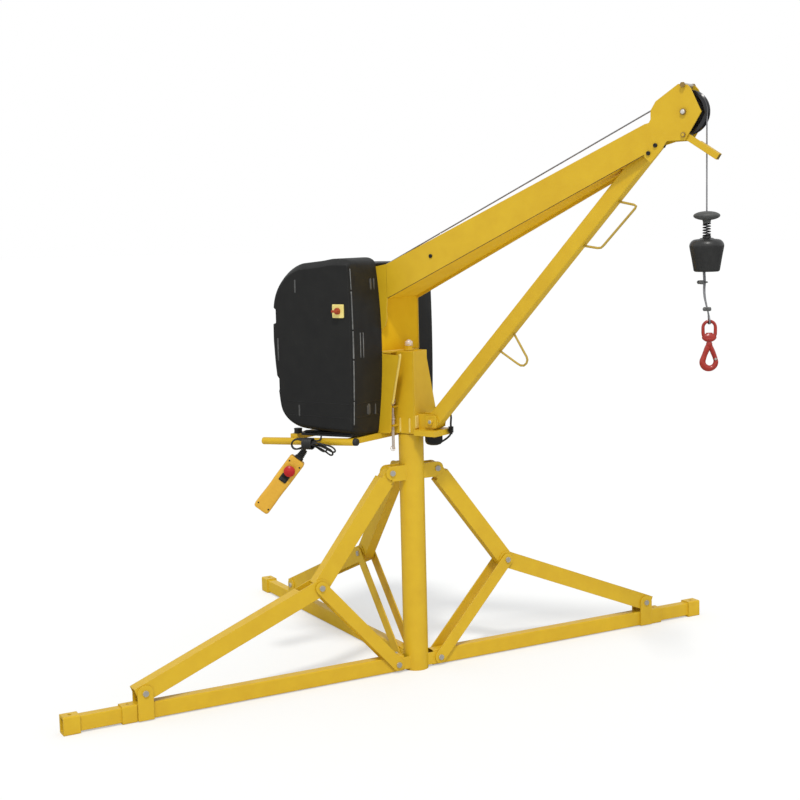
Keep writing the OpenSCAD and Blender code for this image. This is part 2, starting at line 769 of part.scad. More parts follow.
// bow of the swivel with the collar that the hook turns in
module hook_swivel() {
  leg = 19;
  bow_z = eye_z - leg;
  color(red) on_train() translate([hook_off, 0, 0]) {
    translate([0, 0, bow_z]) rotate([90, 0, 0]) rotate_extrude(angle = 180) translate([leg, 0]) circle(d = 10);
    for (x = [-leg, leg]) translate([x, 0, 1228]) cylinder(d = 10, h = bow_z - 1228);
    intersection() {
      translate([0, 0, swivel_z]) rotate_extrude()
        polygon([[0, 0], [10, 0], [13, 3], [25.5, 14], [25.5, 19], [14, 22], [10, 32], [0, 33]]);
      translate([-30, -9, swivel_z]) cube([60, 18, 40]);
    }
  }
}

// hook of round section: the bowl, two arms that run from inside its ends to the neck, and the neck
module hook() {
  bowl_r = 20;
  neck = 1204;
  lean = acos(bowl_r / (neck - hook_z));
  into = 3;
  end = [bowl_r * sin(lean), hook_z + bowl_r * cos(lean)];
  low = [end[0] + into * cos(lean), end[1] - into * sin(lean)];
  color(red) on_train() translate([hook_off, 0, 0]) {
    translate([0, 0, hook_z]) rotate([90, 0, 0]) rotate([0, 0, 90 + lean])
      rotate_extrude(angle = 360 - 2 * lean) translate([bowl_r, 0]) circle(d = 15);
    bar_between([-low[0], low[1]], [0, neck], 14);
    bar_between(low, [0, neck], 13);
    translate([0, 0, 1196]) cylinder(d = 19, h = swivel_z - 0.4 - 1196);
  }
}

// pendant

// along the pendant, from its top down
module on_pendant() {
  translate(pendant_top) rotate([0, 0, pendant_turn]) rotate([0, pendant_tilt + 180, 0]) children();
}

module pendant() {
  l = 224;
  color(orange) on_pendant() difference() {
    intersection() {
      linear_extrude(l) round_rect(60, 42, 6);
      plate_y(-21, 21) translate([0, l / 2]) round_rect(60, l, 12);
    }
    bar_y(0, 50, 17, -22, -8);
  }
}

module stop_button() {
  color(red) on_pendant() {
    bar_y(0, 50, 40, -42, -28);
    bar_y(0, 50, 16, -28, -14);
  }
}

module hoist_rocker() {
  color(dark) on_pendant() translate([-13, -27, 75]) cube([26, 6, 26]);
}

module pendant_gland() {
  color(dark) on_pendant() {
    translate([0, 0, -10]) cylinder(d = 30, h = 10);
    translate([0, 0, -34]) cylinder(d1 = 14, d2 = 26, h = 24);
  }
}

// lead from the cover down to the bundle, and from the bundle to the pendant
module pendant_lead() {
  color(dark) {
    swept(lead_in, 3, 8);
    swept(lead_out, 3, 8);
  }
}

// bundle of the lead, its outer shape only
module lead_bundle() {
  color(dark) hull() {
    translate([-285, -308, 829]) sphere(d = 30, $fn = 20);
    translate([-235, -296, 842]) sphere(d = 30, $fn = 20);
    translate([-205, -290, 848]) sphere(d = 24, $fn = 20);
    translate([-137, -279, 829]) sphere(d = 20, $fn = 20);
    translate([-143, -282, 816]) sphere(d = 18, $fn = 20);
  }
}

mast();
pivot_bolt();
right_beam();
right_extension();
right_outer_link();
right_upper_link();
right_struts();
left_beam();
left_extension();
left_outer_link();
left_upper_link();
left_struts();
rear_beam();
rear_extension();
rear_outer_link();
rear_upper_link();
rear_struts();
leg_pins();
head_tube();
front_plate();
foot_bracket();
boom_arm();
boom_bolts();
sheave();
limit_lever();
brace();
brace_handle();
brace_loop();
near_cover();
far_cover();
switch_plate();
switch_knob();
front_bar();
rear_bar();
near_tube();
far_tube();
frame_plugs();
rubber_feet();
supply_plugs();
supply_cable();
lock_pin();
boom_rope();
drop_rope();
buffer_disc();
spring();
weight();
tail_rope();
rope_clips();
hook_swivel();
hook();
pendant();
stop_button();
hoist_rocker();
pendant_gland();
pendant_lead();
lead_bundle();
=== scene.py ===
import json
import math
import bmesh
import bpy
import numpy as np
from mathutils import Matrix, Vector


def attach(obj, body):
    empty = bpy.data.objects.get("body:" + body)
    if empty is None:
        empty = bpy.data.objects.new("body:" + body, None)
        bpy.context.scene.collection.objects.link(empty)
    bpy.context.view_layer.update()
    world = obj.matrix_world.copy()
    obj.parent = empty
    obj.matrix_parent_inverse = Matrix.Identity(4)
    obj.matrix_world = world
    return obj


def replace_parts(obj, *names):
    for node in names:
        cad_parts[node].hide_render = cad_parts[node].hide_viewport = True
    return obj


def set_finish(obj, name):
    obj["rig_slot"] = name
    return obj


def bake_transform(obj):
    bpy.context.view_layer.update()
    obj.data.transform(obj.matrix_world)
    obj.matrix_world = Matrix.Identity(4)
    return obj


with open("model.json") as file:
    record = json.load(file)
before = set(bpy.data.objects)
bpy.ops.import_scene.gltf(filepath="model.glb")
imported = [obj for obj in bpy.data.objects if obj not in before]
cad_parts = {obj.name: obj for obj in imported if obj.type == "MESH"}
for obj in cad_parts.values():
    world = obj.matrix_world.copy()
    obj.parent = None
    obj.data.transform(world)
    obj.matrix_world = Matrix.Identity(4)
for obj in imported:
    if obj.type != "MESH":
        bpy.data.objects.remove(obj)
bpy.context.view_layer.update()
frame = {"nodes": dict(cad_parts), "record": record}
nodes = frame["nodes"]
slotOf = {row["node"]: row["material_slot"] for row in frame["record"]["subparts"]}
print("frame loaded:", len(nodes), "nodes")

# where the camera stands, which way it looks, and its lens in millimetres
viewPoint = dict(place=(2.9056, -4.1497, 1.5829), heading=35.4038, down=6.826, roll=-1.3754, lens=64.76)


def setCamera(v):
    camera = bpy.data.objects.new("camera", bpy.data.cameras.new("camera"))
    bpy.context.scene.collection.objects.link(camera)
    camera.matrix_world = (
        Matrix.Translation(v["place"])
        @ Matrix.Rotation(math.radians(v["heading"]), 4, "Z")
        @ Matrix.Rotation(math.radians(90 - v["down"]), 4, "X")
        @ Matrix.Rotation(math.radians(v["roll"]), 4, "Z")
    )
    camera.data.lens = v["lens"]
    camera.data.sensor_width = 36
    camera.data.clip_end = 100
    bpy.context.scene.camera = camera


setCamera(viewPoint)
print("camera set")


def newPiece(name, points, faces, slot, body=None, smooth=True, sharp=None):
    # a mesh object with its slot and body; edges sharper than the given degrees stay hard
    mesh = bpy.data.meshes.new(name)
    mesh.from_pydata(np.asarray(points, float).tolist(), [], [tuple(int(i) for i in f) for f in faces])
    mesh.validate()
    mesh.update()
    piece = bpy.data.objects.new(name, mesh)
    bpy.context.scene.collection.objects.link(piece)
    mesh.polygons.foreach_set("use_smooth", [smooth and p.loop_total < 5 for p in mesh.polygons])  # end caps stay flat
    if sharp:
        mesh.set_sharp_from_angle(angle=math.radians(sharp))
    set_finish(piece, slot)
    if body:
        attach(piece, body)
    return piece


def outwards(piece):
    # turns the faces of a closed piece outwards
    mesh = bmesh.new()
    mesh.from_mesh(piece.data)
    bmesh.ops.recalc_face_normals(mesh, faces=mesh.faces)
    mesh.to_mesh(piece.data)
    mesh.free()
    return piece


def solidPiece(name, part, slot, body=None, **more):
    # a closed piece whose faces look outwards
    return outwards(newPiece(name, *part, slot, body, **more))


def columns(*parts):
    # numbers and arrays side by side along the last axis
    return np.stack(np.broadcast_arrays(*parts), -1)


def arc(degrees, size, middle=(0, 0)):
    # points on an ellipse: (middle + width cos a, middle + height sin a)
    a = np.radians(degrees)
    wide, high = (size, size) if np.isscalar(size) else size
    return columns(middle[0] + wide * np.cos(a), middle[1] + high * np.sin(a))


def upright(pairs):
    # (x, z) pairs as points in the plane of the boom
    pairs = np.asarray(pairs, float)
    return columns(pairs[:, 0], 0.0, pairs[:, 1])


def gridFaces(rows, cols, closed=True):
    # quads between neighbouring rows of a grid of points, the last column joined to the first where closed
    i, j = np.meshgrid(np.arange(rows - 1), np.arange(cols if closed else cols - 1), indexing="ij")
    k = (j + 1) % cols
    quads = columns(i * cols + j, i * cols + k, (i + 1) * cols + k, (i + 1) * cols + j)
    return [tuple(q) for q in quads.reshape(-1, 4)]


def endFace(rows, cols, first=False):
    # flat face over the last row of a closed grid, or over its first one
    return tuple(range(cols))[::-1] if first else tuple(range((rows - 1) * cols, rows * cols))


def tubeFaces(rows, cols):
    # a grid closed round its columns, with a flat face at each end
    return gridFaces(rows, cols) + [endFace(rows, cols, first=True), endFace(rows, cols)]


def ringFaces(rows, cols):
    # a grid closed round its columns, with its last row joined to its first
    last = (rows - 1) * cols
    return gridFaces(rows, cols) + [(last + j, last + (j + 1) % cols, (j + 1) % cols, j) for j in range(cols)]


def walkedAlong(path):
    # distance from the start of a path to each of its points
    return np.concatenate([[0], np.cumsum(np.linalg.norm(np.diff(path, axis=0), axis=1))])


def signedPower(v, e):
    return np.sign(v) * np.abs(v) ** e


def framesAlong(path):
    # at each point two vectors square to the path, the first carried along with the least turning
    path = np.asarray(path, float)
    tangent = np.gradient(path, axis=0)
    tangent /= np.linalg.norm(tangent, axis=1, keepdims=True)
    start = np.array([0.0, 1.0, 0.0]) if abs(tangent[0][2]) > 0.9 else np.array([0.0, 0.0, 1.0])
    side = np.empty_like(path)
    s = np.cross(tangent[0], start)
    for n, t in enumerate(tangent):
        s = s - (s @ t) * t
        s = s / np.linalg.norm(s)
        side[n] = s
    return side, np.cross(tangent, side)


def sections(path, across, above):
    # a closed section round each point of a path: point = path + across side + above up, both ends closed
    side, up = framesAlong(path)
    points = path[:, None] + across[..., None] * side[:, None] + above[..., None] * up[:, None]
    return points.reshape(-1, 3), tubeFaces(*across.shape)


def carry(path, radius, cols=12, squash=1.0):
    # a circle of the given radius, or one radius for each point, carried along a path
    path = np.asarray(path, float)
    a = 2 * np.pi * np.arange(cols) / cols
    r = np.broadcast_to(np.asarray(radius, float).reshape(-1, 1), (len(path), 1))
    return sections(path, r * np.cos(a), squash * r * np.sin(a))


def smoothPath(points, count):
    # a Catmull-Rom curve through the points, in even steps of its own length
    p = np.asarray(points, float)
    p = np.vstack([2 * p[0] - p[1], p, 2 * p[-1] - p[-2]])
    t = np.linspace(0, 1, 24, endpoint=False)[:, None]
    runs = []
    for a, b, c, d in zip(p[:-3], p[1:-2], p[2:-1], p[3:]):
        runs.append(0.5 * (2 * b + (c - a) * t + (2 * a - 5 * b + 4 * c - d) * t**2 + (3 * b - a - 3 * c + d) * t**3))
    runs = np.vstack(runs + [p[-2:-1]])
    walked = walkedAlong(runs)
    even = np.linspace(0, walked[-1], count)
    return columns(*[np.interp(even, walked, runs[:, k]) for k in range(3)])


def lengthOf(path):
    return float(np.linalg.norm(np.diff(np.asarray(path), axis=0), axis=1).sum())


def joined(*parts):
    # several (points, faces) pairs as one
    points, faces, shift = [], [], 0
    for p, f in parts:
        points.append(np.asarray(p, float))
        faces += [tuple(int(i) + shift for i in q) for q in f]
        shift += len(p)
    return np.vstack(points), faces


def placed(part, place=(0, 0, 0), turn=None):
    points, faces = part
    points = np.asarray(points, float)
    if turn is not None:
        points = points @ np.asarray(turn, float).T
    return points + np.asarray(place, float), faces


def turned(axis, degrees):
    # matrix of a turn about one axis
    return np.array(Matrix.Rotation(math.radians(degrees), 3, axis))


def spun(profile, cols=48, axis="Z"):
    # a profile of (radius, height) rows turned about an axis: point = (r cos a, r sin a, h)
    profile = np.asarray(profile, float)
    a = 2 * np.pi * np.arange(cols) / cols
    r, h = profile[:, :1], profile[:, 1:]
    points = columns(r * np.cos(a), r * np.sin(a), h).reshape(-1, 3)
    faces = tubeFaces(len(profile), cols)
    if axis == "Y":
        points = points @ np.array([[1, 0, 0], [0, 0, -1], [0, 1, 0]]).T
    return points, faces


def pillow(size, e=0.25, rows=17, cols=40):
    # superellipsoid: half-axes times signed powers e of sines and cosines; a small e gives a box with soft edges
    u = np.linspace(-np.pi / 2, np.pi / 2, rows)[1:-1, None]
    a = 2 * np.pi * (np.arange(cols)[None] + 0.5) / cols
    wide = signedPower(np.cos(u), e)
    x, y, z = wide * signedPower(np.cos(a), e), wide * signedPower(np.sin(a), e), signedPower(np.sin(u), e)
    points = columns(x, y, z).reshape(-1, 3) * np.asarray(size, float) / 2
    ends = [(0, 0, -size[2] / 2), (0, 0, size[2] / 2)]
    n = len(points)
    faces = gridFaces(rows - 2, cols)
    faces += [(n, (k + 1) % cols, k) for k in range(cols)]
    faces += [(n + 1, n - cols + k, n - cols + (k + 1) % cols) for k in range(cols)]
    return np.vstack([points, ends]), faces


def torus(radius, wire, cols=36, rows=10):
    # ring of round wire: point = ((R + r cos b) cos a, (R + r cos b) sin a, r sin b)
    a = 2 * np.pi * np.arange(cols)[:, None] / cols
    b = 2 * np.pi * np.arange(rows)[None] / rows
    ring = radius + wire * np.cos(b)
    points = columns(ring * np.cos(a), ring * np.sin(a), wire * np.sin(b)).reshape(-1, 3)
    i, j = np.meshgrid(np.arange(cols), np.arange(rows), indexing="ij")
    ahead, over = (i + 1) % cols * rows, (j + 1) % rows
    faces = columns(i * rows + j, ahead + j, ahead + over, i * rows + over)
    return points, [tuple(q) for q in faces.reshape(-1, 4)]


def hexNut(across, height, chamfer=0.12):
    # six-sided radius r = (across / 2) / cos(a mod 60 - 30), drawn in at both ends by a chamfer
    a = 2 * np.pi * np.arange(48) / 48
    flat = across / 2 / np.cos((a % (np.pi / 3)) - np.pi / 6)
    rows = []
    for h, k in ((0, 1 - chamfer), (0.14, 1), (0.86, 1), (1, 1 - chamfer)):
        r = np.minimum(flat, across / 2 * 1.1547 * (k if k < 1 else 1))
        rows.append(columns(r * np.cos(a), r * np.sin(a), h * height))
    return np.vstack(rows), tubeFaces(4, 48)


print("mesh makers ready")

# the pendant lead: a hank in a plane beside the frame tube, as (along, up, out) in millimetres from its middle
lead = dict(
    diameter=0.006,
    middle=(-0.205, -0.290, 0.845),
    along=(0.978, 0.208, 0),
    out=(0.208, -0.978, 0),
    down=[(12.7, 27, -26), (12.6, 19, -25.5), (11, 11, -22), (4.5, 7, -17.5)],
    turns=[
        (-6, 8, -12.5), (-18, 12, -9.5), (-34, 14, -8), (-55, 15, -8), (-75, 13, -8), (-91, 4, -8), (-95, -11, -8),
        (-83, -23, -8), (-62, -21, -8), (-40, -15, -8), (-18, -11, -8), (4, -13, -8), (22, -20, -9), (37, -29, -10),
        (50, -37, -8), (63, -39, -2), (72, -31, 6), (68, -19, 12), (54, -11, 14), (38, -8, 10), (20, -2, 3.5),
        (0, 5, 1),
        (-20, 8, 0), (-35, 10, 0), (-53, 13.5, 0), (-71, 14, 0), (-86, 6, 0), (-91, -8, 0), (-81, -21.5, 0),
        (-61, -19.5, 0), (-40, -11, 0), (-20, -5, 0), (0, -5, -1), (20, -9, -4), (40, -18, -8), (56, -26, -9),
        (72, -28, -4), (81, -20, 5), (77, -9, 14), (62, -2, 18), (46, 0, 17), (28, 3, 14), (8, 4, 9.5),
        (-14, 3.5, 7.5), (-34, 7.5, 8), (-51, 12, 8), (-68, 13.5, 8), (-83, 6, 8), (-88, -8, 8), (-78, -21, 8),
        (-58, -18, 8), (-38, -9, 8), (-18, -4.5, 9), (0, -5, 11), (14, -11, 12), (28, -19, 14), (42, -24, 17),
        (57, -18, 22), (57, -4, 29), (40, 5, 30), (20, 6, 25), (4, 3, 20), (-10, -3, 18.5), (-23, -11, 15),
    ],
    back=[(-34, -19, 7), (-42, -25, -5), (-48, -27, -17), (-53, -28.5, -26)],
    gland=[(-0.2689, -0.2729, 0.8118), (-0.2739, -0.2765, 0.8039)],
)


def leadPath(s):
    # smooth curve through the hank's points and the gland
    a, b = np.array(s["along"]), np.array(s["out"])
    own = np.array(s["down"] + s["turns"] + s["back"], float) / 1000
    points = np.array(s["middle"]) + own[:, :1] * a + own[:, 1:2] * np.array([0, 0, 1]) + own[:, 2:] * b
    path = smoothPath(np.vstack([points, s["gland"]]), 640)
    for _ in range(14):  # takes the last unevenness out of the bends
        path[1:-1] = (path[:-2] + 2 * path[1:-1] + path[2:]) / 4
    return path


path = leadPath(lead)
pendantLead = newPiece("pendantLead", *carry(path, lead["diameter"] / 2, 10), "black_rubber", "head")
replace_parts(pendantLead, "pendant_lead", "lead_bundle")
print("pendant lead laid:", round(lengthOf(path), 3), "m")

# tie that holds the hank, a flat loop round its runs
tie = dict(place=(-24, 0, 4), high=0.0190, wide=0.0185, width=0.036, ribs=5)


def hankTie(s, l):
    # a ribbed strap section carried round a superellipse in the plane across the hank
    t = np.linspace(0, 2 * np.pi, 49)[:-1]
    own = np.array(s["place"]) / 1000
    a, b, up = np.array(l["along"]), np.array(l["out"]), np.array([0, 0, 1.0])
    middle = np.array(l["middle"]) + own[0] * a + own[1] * up + own[2] * b
    c, k = (signedPower(wave(t), 0.8)[:, None] for wave in (np.cos, np.sin))
    radial = c * s["high"] * up + k * s["wide"] * b
    across = np.linspace(-0.5, 0.5, 8 * s["ribs"] + 1)
    outer = 1.02 + 0.07 * np.abs(np.sin(np.pi * s["ribs"] * (across + 0.5)))
    profile = [(0.93, -0.5)] + list(zip(outer, across)) + [(0.93, 0.5)]
    points = np.stack([middle + radial * k + a * w * s["width"] for k, w in profile], 0)
    return points.reshape(-1, 3), ringFaces(len(profile), 48)


newPiece("leadTie", *hankTie(tie, lead), "black_rubber", "head", sharp=40)

# the supply cable, from the far cover behind the foot of the brace to its inlet
supply = dict(
    radius=0.0035,
    route=[
        (-57, 122, 925), (-48, 121, 926), (-36, 118, 928), (-22, 114, 930), (-6, 109, 932), (10, 105, 934),
        (24, 102, 936), (40, 98, 938), (54, 91, 940), (67, 80, 943), (80, 66, 946), (94, 52, 948), (108, 46, 949),
        (122, 41, 948), (134, 37, 944), (143, 34, 937), (149, 32, 929), (152, 31, 920), (152, 30, 910), (151, 30, 899),
        (151, 30, 888), (152, 30, 876), (151, 30, 864), (146, 29, 854), (138, 27, 846), (129, 24, 839), (120, 20, 833),
        (113, 16, 829),
    ],
)
supplyCable = newPiece("supplyCable", *carry(smoothPath(np.array(supply["route"]) / 1000, 160), supply["radius"], 12),
                       "black_rubber", "head")
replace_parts(supplyCable, "supply_cable")
print("supply cable laid")

# winch cover: two shells
cover = dict(
    frontX=-0.048, bow=0.25, flat=0.179, bowZ=1.18, inner=0.095, nearWidth=0.175, farWidth=0.134, farTop=1.461,
    split=-0.218, notches=[(1.259, 1.309, -0.3895), (1.019, 1.068, -0.383)], notchReach=0.072,
    edge=[(0.0249, 0, 0), (0.0215, 0.0008, 0.0012), (0.017, 0.0016, 0.0042), (0.0115, 0.0034, 0.0078),
          (0.008, 0.0052, 0.0101), (0.0045, 0.0084, 0.0124), (0.0018, 0.0122, 0.0146), (0, 0.016, 0.0162)],
    # outline in (x, z): corners as half-axes and middle, and the points between them
    lowCorner=((0.122, 0.13), (-0.262, 1.0)),
    behind=[(-0.3905, 1.04), (-0.3995, 1.12), (-0.4045, 1.198), (-0.4035, 1.27)],
    highCorner=((0.170, 0.1725), (-0.231, 1.3)),
    above=[(-0.178, 1.4765), (-0.136, 1.4832), (-0.101, 1.4835), (-0.086, 1.480)],
    frontEnds=(1.469, 0.865), below=[(-0.082, 0.862), (-0.2, 0.866)],
    flap=(0.111, 0.188, 0.007), flapPlace=(-0.1625, 0, 1.4575),
    pan=(0.226, 0.160, 0.009), panPlace=(-0.186, -0.172, 0.8715),
)


def frontX(c, z, share=0.0):
    # front face: falls back with the square of the height from its middle, less so towards the outer side
    return c["frontX"] - (np.asarray(z, float) - c["bowZ"]) ** 2 * (c["bow"] - c["flat"] * share)


def coverOutline(c, top, count=320, right=0.0):
    # closed outline in the XZ plane: two elliptic corners behind and the bowed front, in even steps, corners softened
    low, high = arc(np.arange(270, 189, -4), *c["lowCorner"]), arc(np.arange(175, 99, -4), *c["highCorner"])
    z = np.linspace(*c["frontEnds"], 40)
    p = np.vstack([low, c["behind"], high, c["above"], columns(frontX(c, z), z), c["below"]])
    p[:, 0] = np.minimum(p[:, 0], right)
    p[:, 1] = np.minimum(p[:, 1], top)
    p = np.vstack([p, p[:1]])
    walked = walkedAlong(p)
    even = np.linspace(0, walked[-1], count + 1)[:-1]
    p = columns(*[np.interp(even, walked, p[:, k]) for k in range(2)])
    for _ in range(3):
        p = (np.roll(p, 1, 0) + 2 * p + np.roll(p, -1, 0)) / 4
    return p


def coverShell(c, side, width, top):
    # rows of the outline move inwards by the edge profile as the width grows: round at the sides, chamfered on top
    ring = coverOutline(c, top)
    ahead = np.roll(ring, -1, 0) - np.roll(ring, 1, 0)
    inward = columns(ahead[:, 1], -ahead[:, 0]) / np.linalg.norm(ahead, axis=1, keepdims=True)
    if ((ring.mean(0) - ring) * inward).sum() < 0:
        inward = -inward
    up, ahead, down = (np.clip(v, 0, 1)[:, None] ** 2 for v in (-inward[:, 1], -inward[:, 0], inward[:, 1]))
    outer = c["inner"] + width

    def row(back, soft, flat, notched):
        moved = ring + inward * (soft * (1 - up - 0.6 * ahead + 0.1 * down) + flat * 1.35 * up)
        share = (width - back) / width
        moved[:, 0] += c["flat"] * (moved[:, 1] - c["bowZ"]) ** 2 * share * np.clip((moved[:, 0] + 0.13) / 0.05, 0, 1)
        moved[:, 1] += 0.021 * share * np.clip((0.95 - moved[:, 1]) / 0.08, 0, 1)
        for low, high, floor in c["notches"] if notched else []:
            inside = (moved[:, 1] > low) & (moved[:, 1] < high) & (moved[:, 0] < -0.3)
            moved[inside, 0] = np.maximum(moved[inside, 0], floor + soft * 0.7)
        return columns(moved[:, 0], side * (outer - back), moved[:, 1])

    near = side < 0
    rows = [row(width, 0, 0, False), row(width * 0.7, 0, 0, False), row(c["notchReach"] + 0.0004, 0, 0, False),
            row(c["notchReach"], 0, 0, near)]
    rows += [row(*e, near) for e in c["edge"]]
    middle = rows[-1].mean(0)
    rows.append(middle + (rows[-1] - middle) * (0.988, 1, 0.988))
    grid = np.stack(rows, 0)
    n, m = grid.shape[:2]
    faces = gridFaces(n, m) + [tuple(range(m)), endFace(n, m)]
    back = coverOutline(c, top, 120, right=c["split"])
    m = len(back)
    ends = (0.0005, c["inner"] + 0.001)
    wall = np.stack([columns(back[:, 0], side * y, back[:, 1]) for y in ends], 0)
    wallFaces = gridFaces(2, m) + [tuple(range(m)), endFace(2, m)]
    return joined((grid.reshape(-1, 3), faces), (wall.reshape(-1, 3), wallFaces))


nearShell = solidPiece("nearShell", coverShell(cover, -1, cover["nearWidth"], 1.5), "cover_plastic", "head", sharp=35)
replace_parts(nearShell, "near_cover")
farParts = coverShell(cover, 1, cover["farWidth"], cover["farTop"])
flap = placed(pillow(cover["flap"], 0.08), cover["flapPlace"])
farShell = solidPiece("farShell", joined(farParts, flap), "cover_plastic", "head", sharp=35)
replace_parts(farShell, "far_cover")
print("winch cover moulded")


# marks on the cover: the joint between its side and its wrap, clips, ribs in front, a band and a lip below
marks = dict(
    # low, high, half width
    joint=[(0.915, 0.995, 0.0020), (0.999, 1.137, 0.0023), (1.143, 1.237, 0.0028), (1.242, 1.372, 0.0023),
           (1.378, 1.449, 0.0017)],
    ribs=[(-0.2195, 1.144, 1.230), (-0.203, 1.142, 1.229)],
    lines=[0.986, 0.938],
    sideClips=[(-0.2877, 1.389, 0.046), (-0.285, 0.9545, 0.040), (-0.3728, 1.167, 0.080)],
    frontClips=[(-0.141, 1.392, 0.010), (-0.121, 1.392, 0.008), (-0.172, 0.960, 0.020), (-0.129, 0.957, 0.008)],
)


def onFront(c, y, z, lift=0.0):
    # points on the near half's front face, lifted off it by a little
    z = np.asarray(z, float)
    return columns(frontX(c, z, (np.abs(y) - c["inner"]) / c["nearWidth"]) + lift, y, z)


def coverRibs(c, m):
    # beads laid along the front face: point = (front of the face, y, z)
    parts = []
    for low, high, half in m["joint"]:
        parts.append(carry(onFront(c, -0.2597, np.linspace(low, high, 24), -0.0004), half, 8))
    for y, low, high in m["ribs"]:
        parts.append(carry(onFront(c, y, np.linspace(low, high, 14), -0.0004), 0.0021, 8))
    return joined(*parts)


newPiece("coverRibs", *coverRibs(cover, marks), "cover_plastic", "head")


def coverLines(c, m):
    # two fine lines round the foot of the cover, over the side and on across the front
    outer = -c["inner"] - c["nearWidth"]
    parts = []
    for z in m["lines"]:
        along = np.linspace(-0.335, -0.066, 30)
        side = columns(along, outer + 0.0002, z)
        y = np.linspace(-0.256, -0.102, 16)
        parts += [carry(side, 0.0009, 6), carry(onFront(c, y, z, -0.0003), 0.0009, 6)]
    return joined(*parts)


newPiece("coverLines", *coverLines(cover, marks), "black_plastic", "head")


lip = dict(back=-0.285, front=-0.072, y=-0.236, z=0.8815, radius=0.0145, squash=0.28)


def coverLip(s):
    # flange under the outer edge: a rounded strip that runs level with the frame tube
    x = np.linspace(s["back"], s["front"], 40)
    z = s["z"] - 0.004 * (x - s["front"]) / -0.21
    return carry(columns(x, s["y"], z), s["radius"], 16, squash=s["squash"])


newPiece("coverLip", *coverLip(lip), "cover_plastic", "head", sharp=50)

# pan that closes the cover below, over the frame tubes
pan = placed(pillow(cover["pan"], 0.06), cover["panPlace"], turned("Y", -1.5))
newPiece("coverPan", *pan, "black_plastic", "head", sharp=40)


def coverClips(c, m):
    # soft-edged bars on the side, and in front pairs of a wide plate with a narrow bar on it
    parts = []
    outer = -c["inner"] - c["nearWidth"]
    for x, z, tall in m["sideClips"]:
        parts.append(placed(pillow((0.0062, 0.0032, tall), 0.3), (x, outer - 0.0002, z)))
    for y, z, wide in m["frontClips"]:
        x = float(onFront(c, y, z)[0])
        parts.append(placed(pillow((0.003, wide, 0.034), 0.25), (x, y, z)))
        parts.append(placed(pillow((0.0042, wide * 0.4, 0.040), 0.3), (x, y, z)))
    return joined(*parts)


newPiece("coverClips", *coverClips(cover, marks), "black_plastic", "head", sharp=40)

# main switch on the near side
switch = dict(
    middle=(-0.0998, -0.270, 1.3057), plate=(0.048, 0.005, 0.0463),
    screw=[(0.0001, 0.0012), (0.0019, 0.001), (0.0024, 0)],
    screwX=0.0190, screwZ=0.0180, knob=0.0115, bar=(0.0265, 0.0125, 0.0085), barPlace=(-0.002, -0.0132, 0),
)


def switchPlate(s):
    # plate with a screw near each corner
    x, y, z = s["middle"]
    parts = [placed(pillow(s["plate"], 0.12), (x, y - s["plate"][1] / 2, z))]
    screw = spun(s["screw"], 16, "Y")
    for dx in (-s["screwX"], s["screwX"]):
        parts += [placed(screw, (x + dx, y - 0.0051, z + dz)) for dz in (-s["screwZ"], s["screwZ"])]
    return joined(*parts)


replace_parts(solidPiece("switchPlate", switchPlate(switch), "yellow_paint", "head", sharp=40), "switch_plate")


def switchKnob(s):
    # turned skirt with a grip bar across it
    x, y, z = s["middle"]
    y -= 0.005
    r = s["knob"]
    skirt = spun([(0.0001, 0.0085), (r * 0.8, 0.0085), (r * 0.95, 0.0072), (r, 0.004), (r, 0.0002)], 40, "Y")
    bar = placed(pillow(s["bar"], 0.3), s["barPlace"])
    return placed(joined(skirt, bar), (x, y, z))


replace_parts(solidPiece("switchKnob", switchKnob(switch), "red_plastic", "knob", sharp=40), "switch_knob")
print("switch made")

# frame under the cover: plugs of its tubes, feet
frameEnds = dict(place=(-0.062, 0.8545), rise=0.0537, near=-0.25, far=0.2, radius=0.013)


def tubePlugs(f):
    # turned plug with a raised cross, one in each tube's end
    turn = turned("Y", 90 - math.degrees(math.atan(f["rise"])))
    r = f["radius"]
    plug = spun([(r, 0.0002), (r, 0.0015), (r, 0.002), (r, 0.0095), (r * 0.94, 0.0118), (r * 0.8, 0.013),
                 (0.0001, 0.0131)], 36)
    bars = [pillow((0.015, 0.0022, 0.0012), 0.3), pillow((0.0022, 0.015, 0.0012), 0.3)]
    cross = [placed(bar, (0, 0, 0.0126)) for bar in bars]
    one = joined(plug, *cross)
    x, z = f["place"]
    return joined(*[placed(one, (x, y, z), turn) for y in (f["near"], f["far"])])


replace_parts(solidPiece("tubePlugs", tubePlugs(frameEnds), "black_rubber", "head", sharp=40), "frame_plugs")

footRow = dict(x=-0.334, y=(-0.222, 0.172), z=0.866, radius=0.015, height=0.017)


def coverFeet(f):
    # bobbin profile: the rubber draws in a little at mid height
    h = np.linspace(0, 1, 13)
    r = f["radius"] * (0.93 + 0.07 * (2 * h - 1) ** 2)
    one = spun(columns(r, h * f["height"]), 36)
    return joined(*[placed(one, (f["x"], y, f["z"])) for y in f["y"]])


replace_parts(solidPiece("coverFeet", coverFeet(footRow), "black_rubber", "head", sharp=50), "rubber_feet")

# supply inlet under the foot bracket and its plug, as (radius, height) profiles
inlet = dict(
    place=(0.098, 0, 0.822), plug=(0.151, 0.030, 0.866), gland=(0.110, 0.0145, 0.8265), plugLength=0.02,
    plugRadius=0.0088, ribs=5,
    cup=[(0.0001, 0), (0.017, 0.0004), (0.0245, 0.0032), (0.0285, 0.0072), (0.031, 0.0145), (0.031, 0.0375),
         (0.0298, 0.0385), (0.0298, 0.0405), (0.031, 0.0415), (0.031, 0.051), (0.0001, 0.051)],
    collar=[(0.0001, -0.007), (0.0052, -0.007), (0.0062, -0.001), (0.0075, 0.0), (0.0001, 0.0)],
    sleeve=[(0.0001, 0), (0.0055, 0.0005), (0.0065, 0.004), (0.0085, 0.011), (0.0085, 0.016), (0.0001, 0.016)],
)


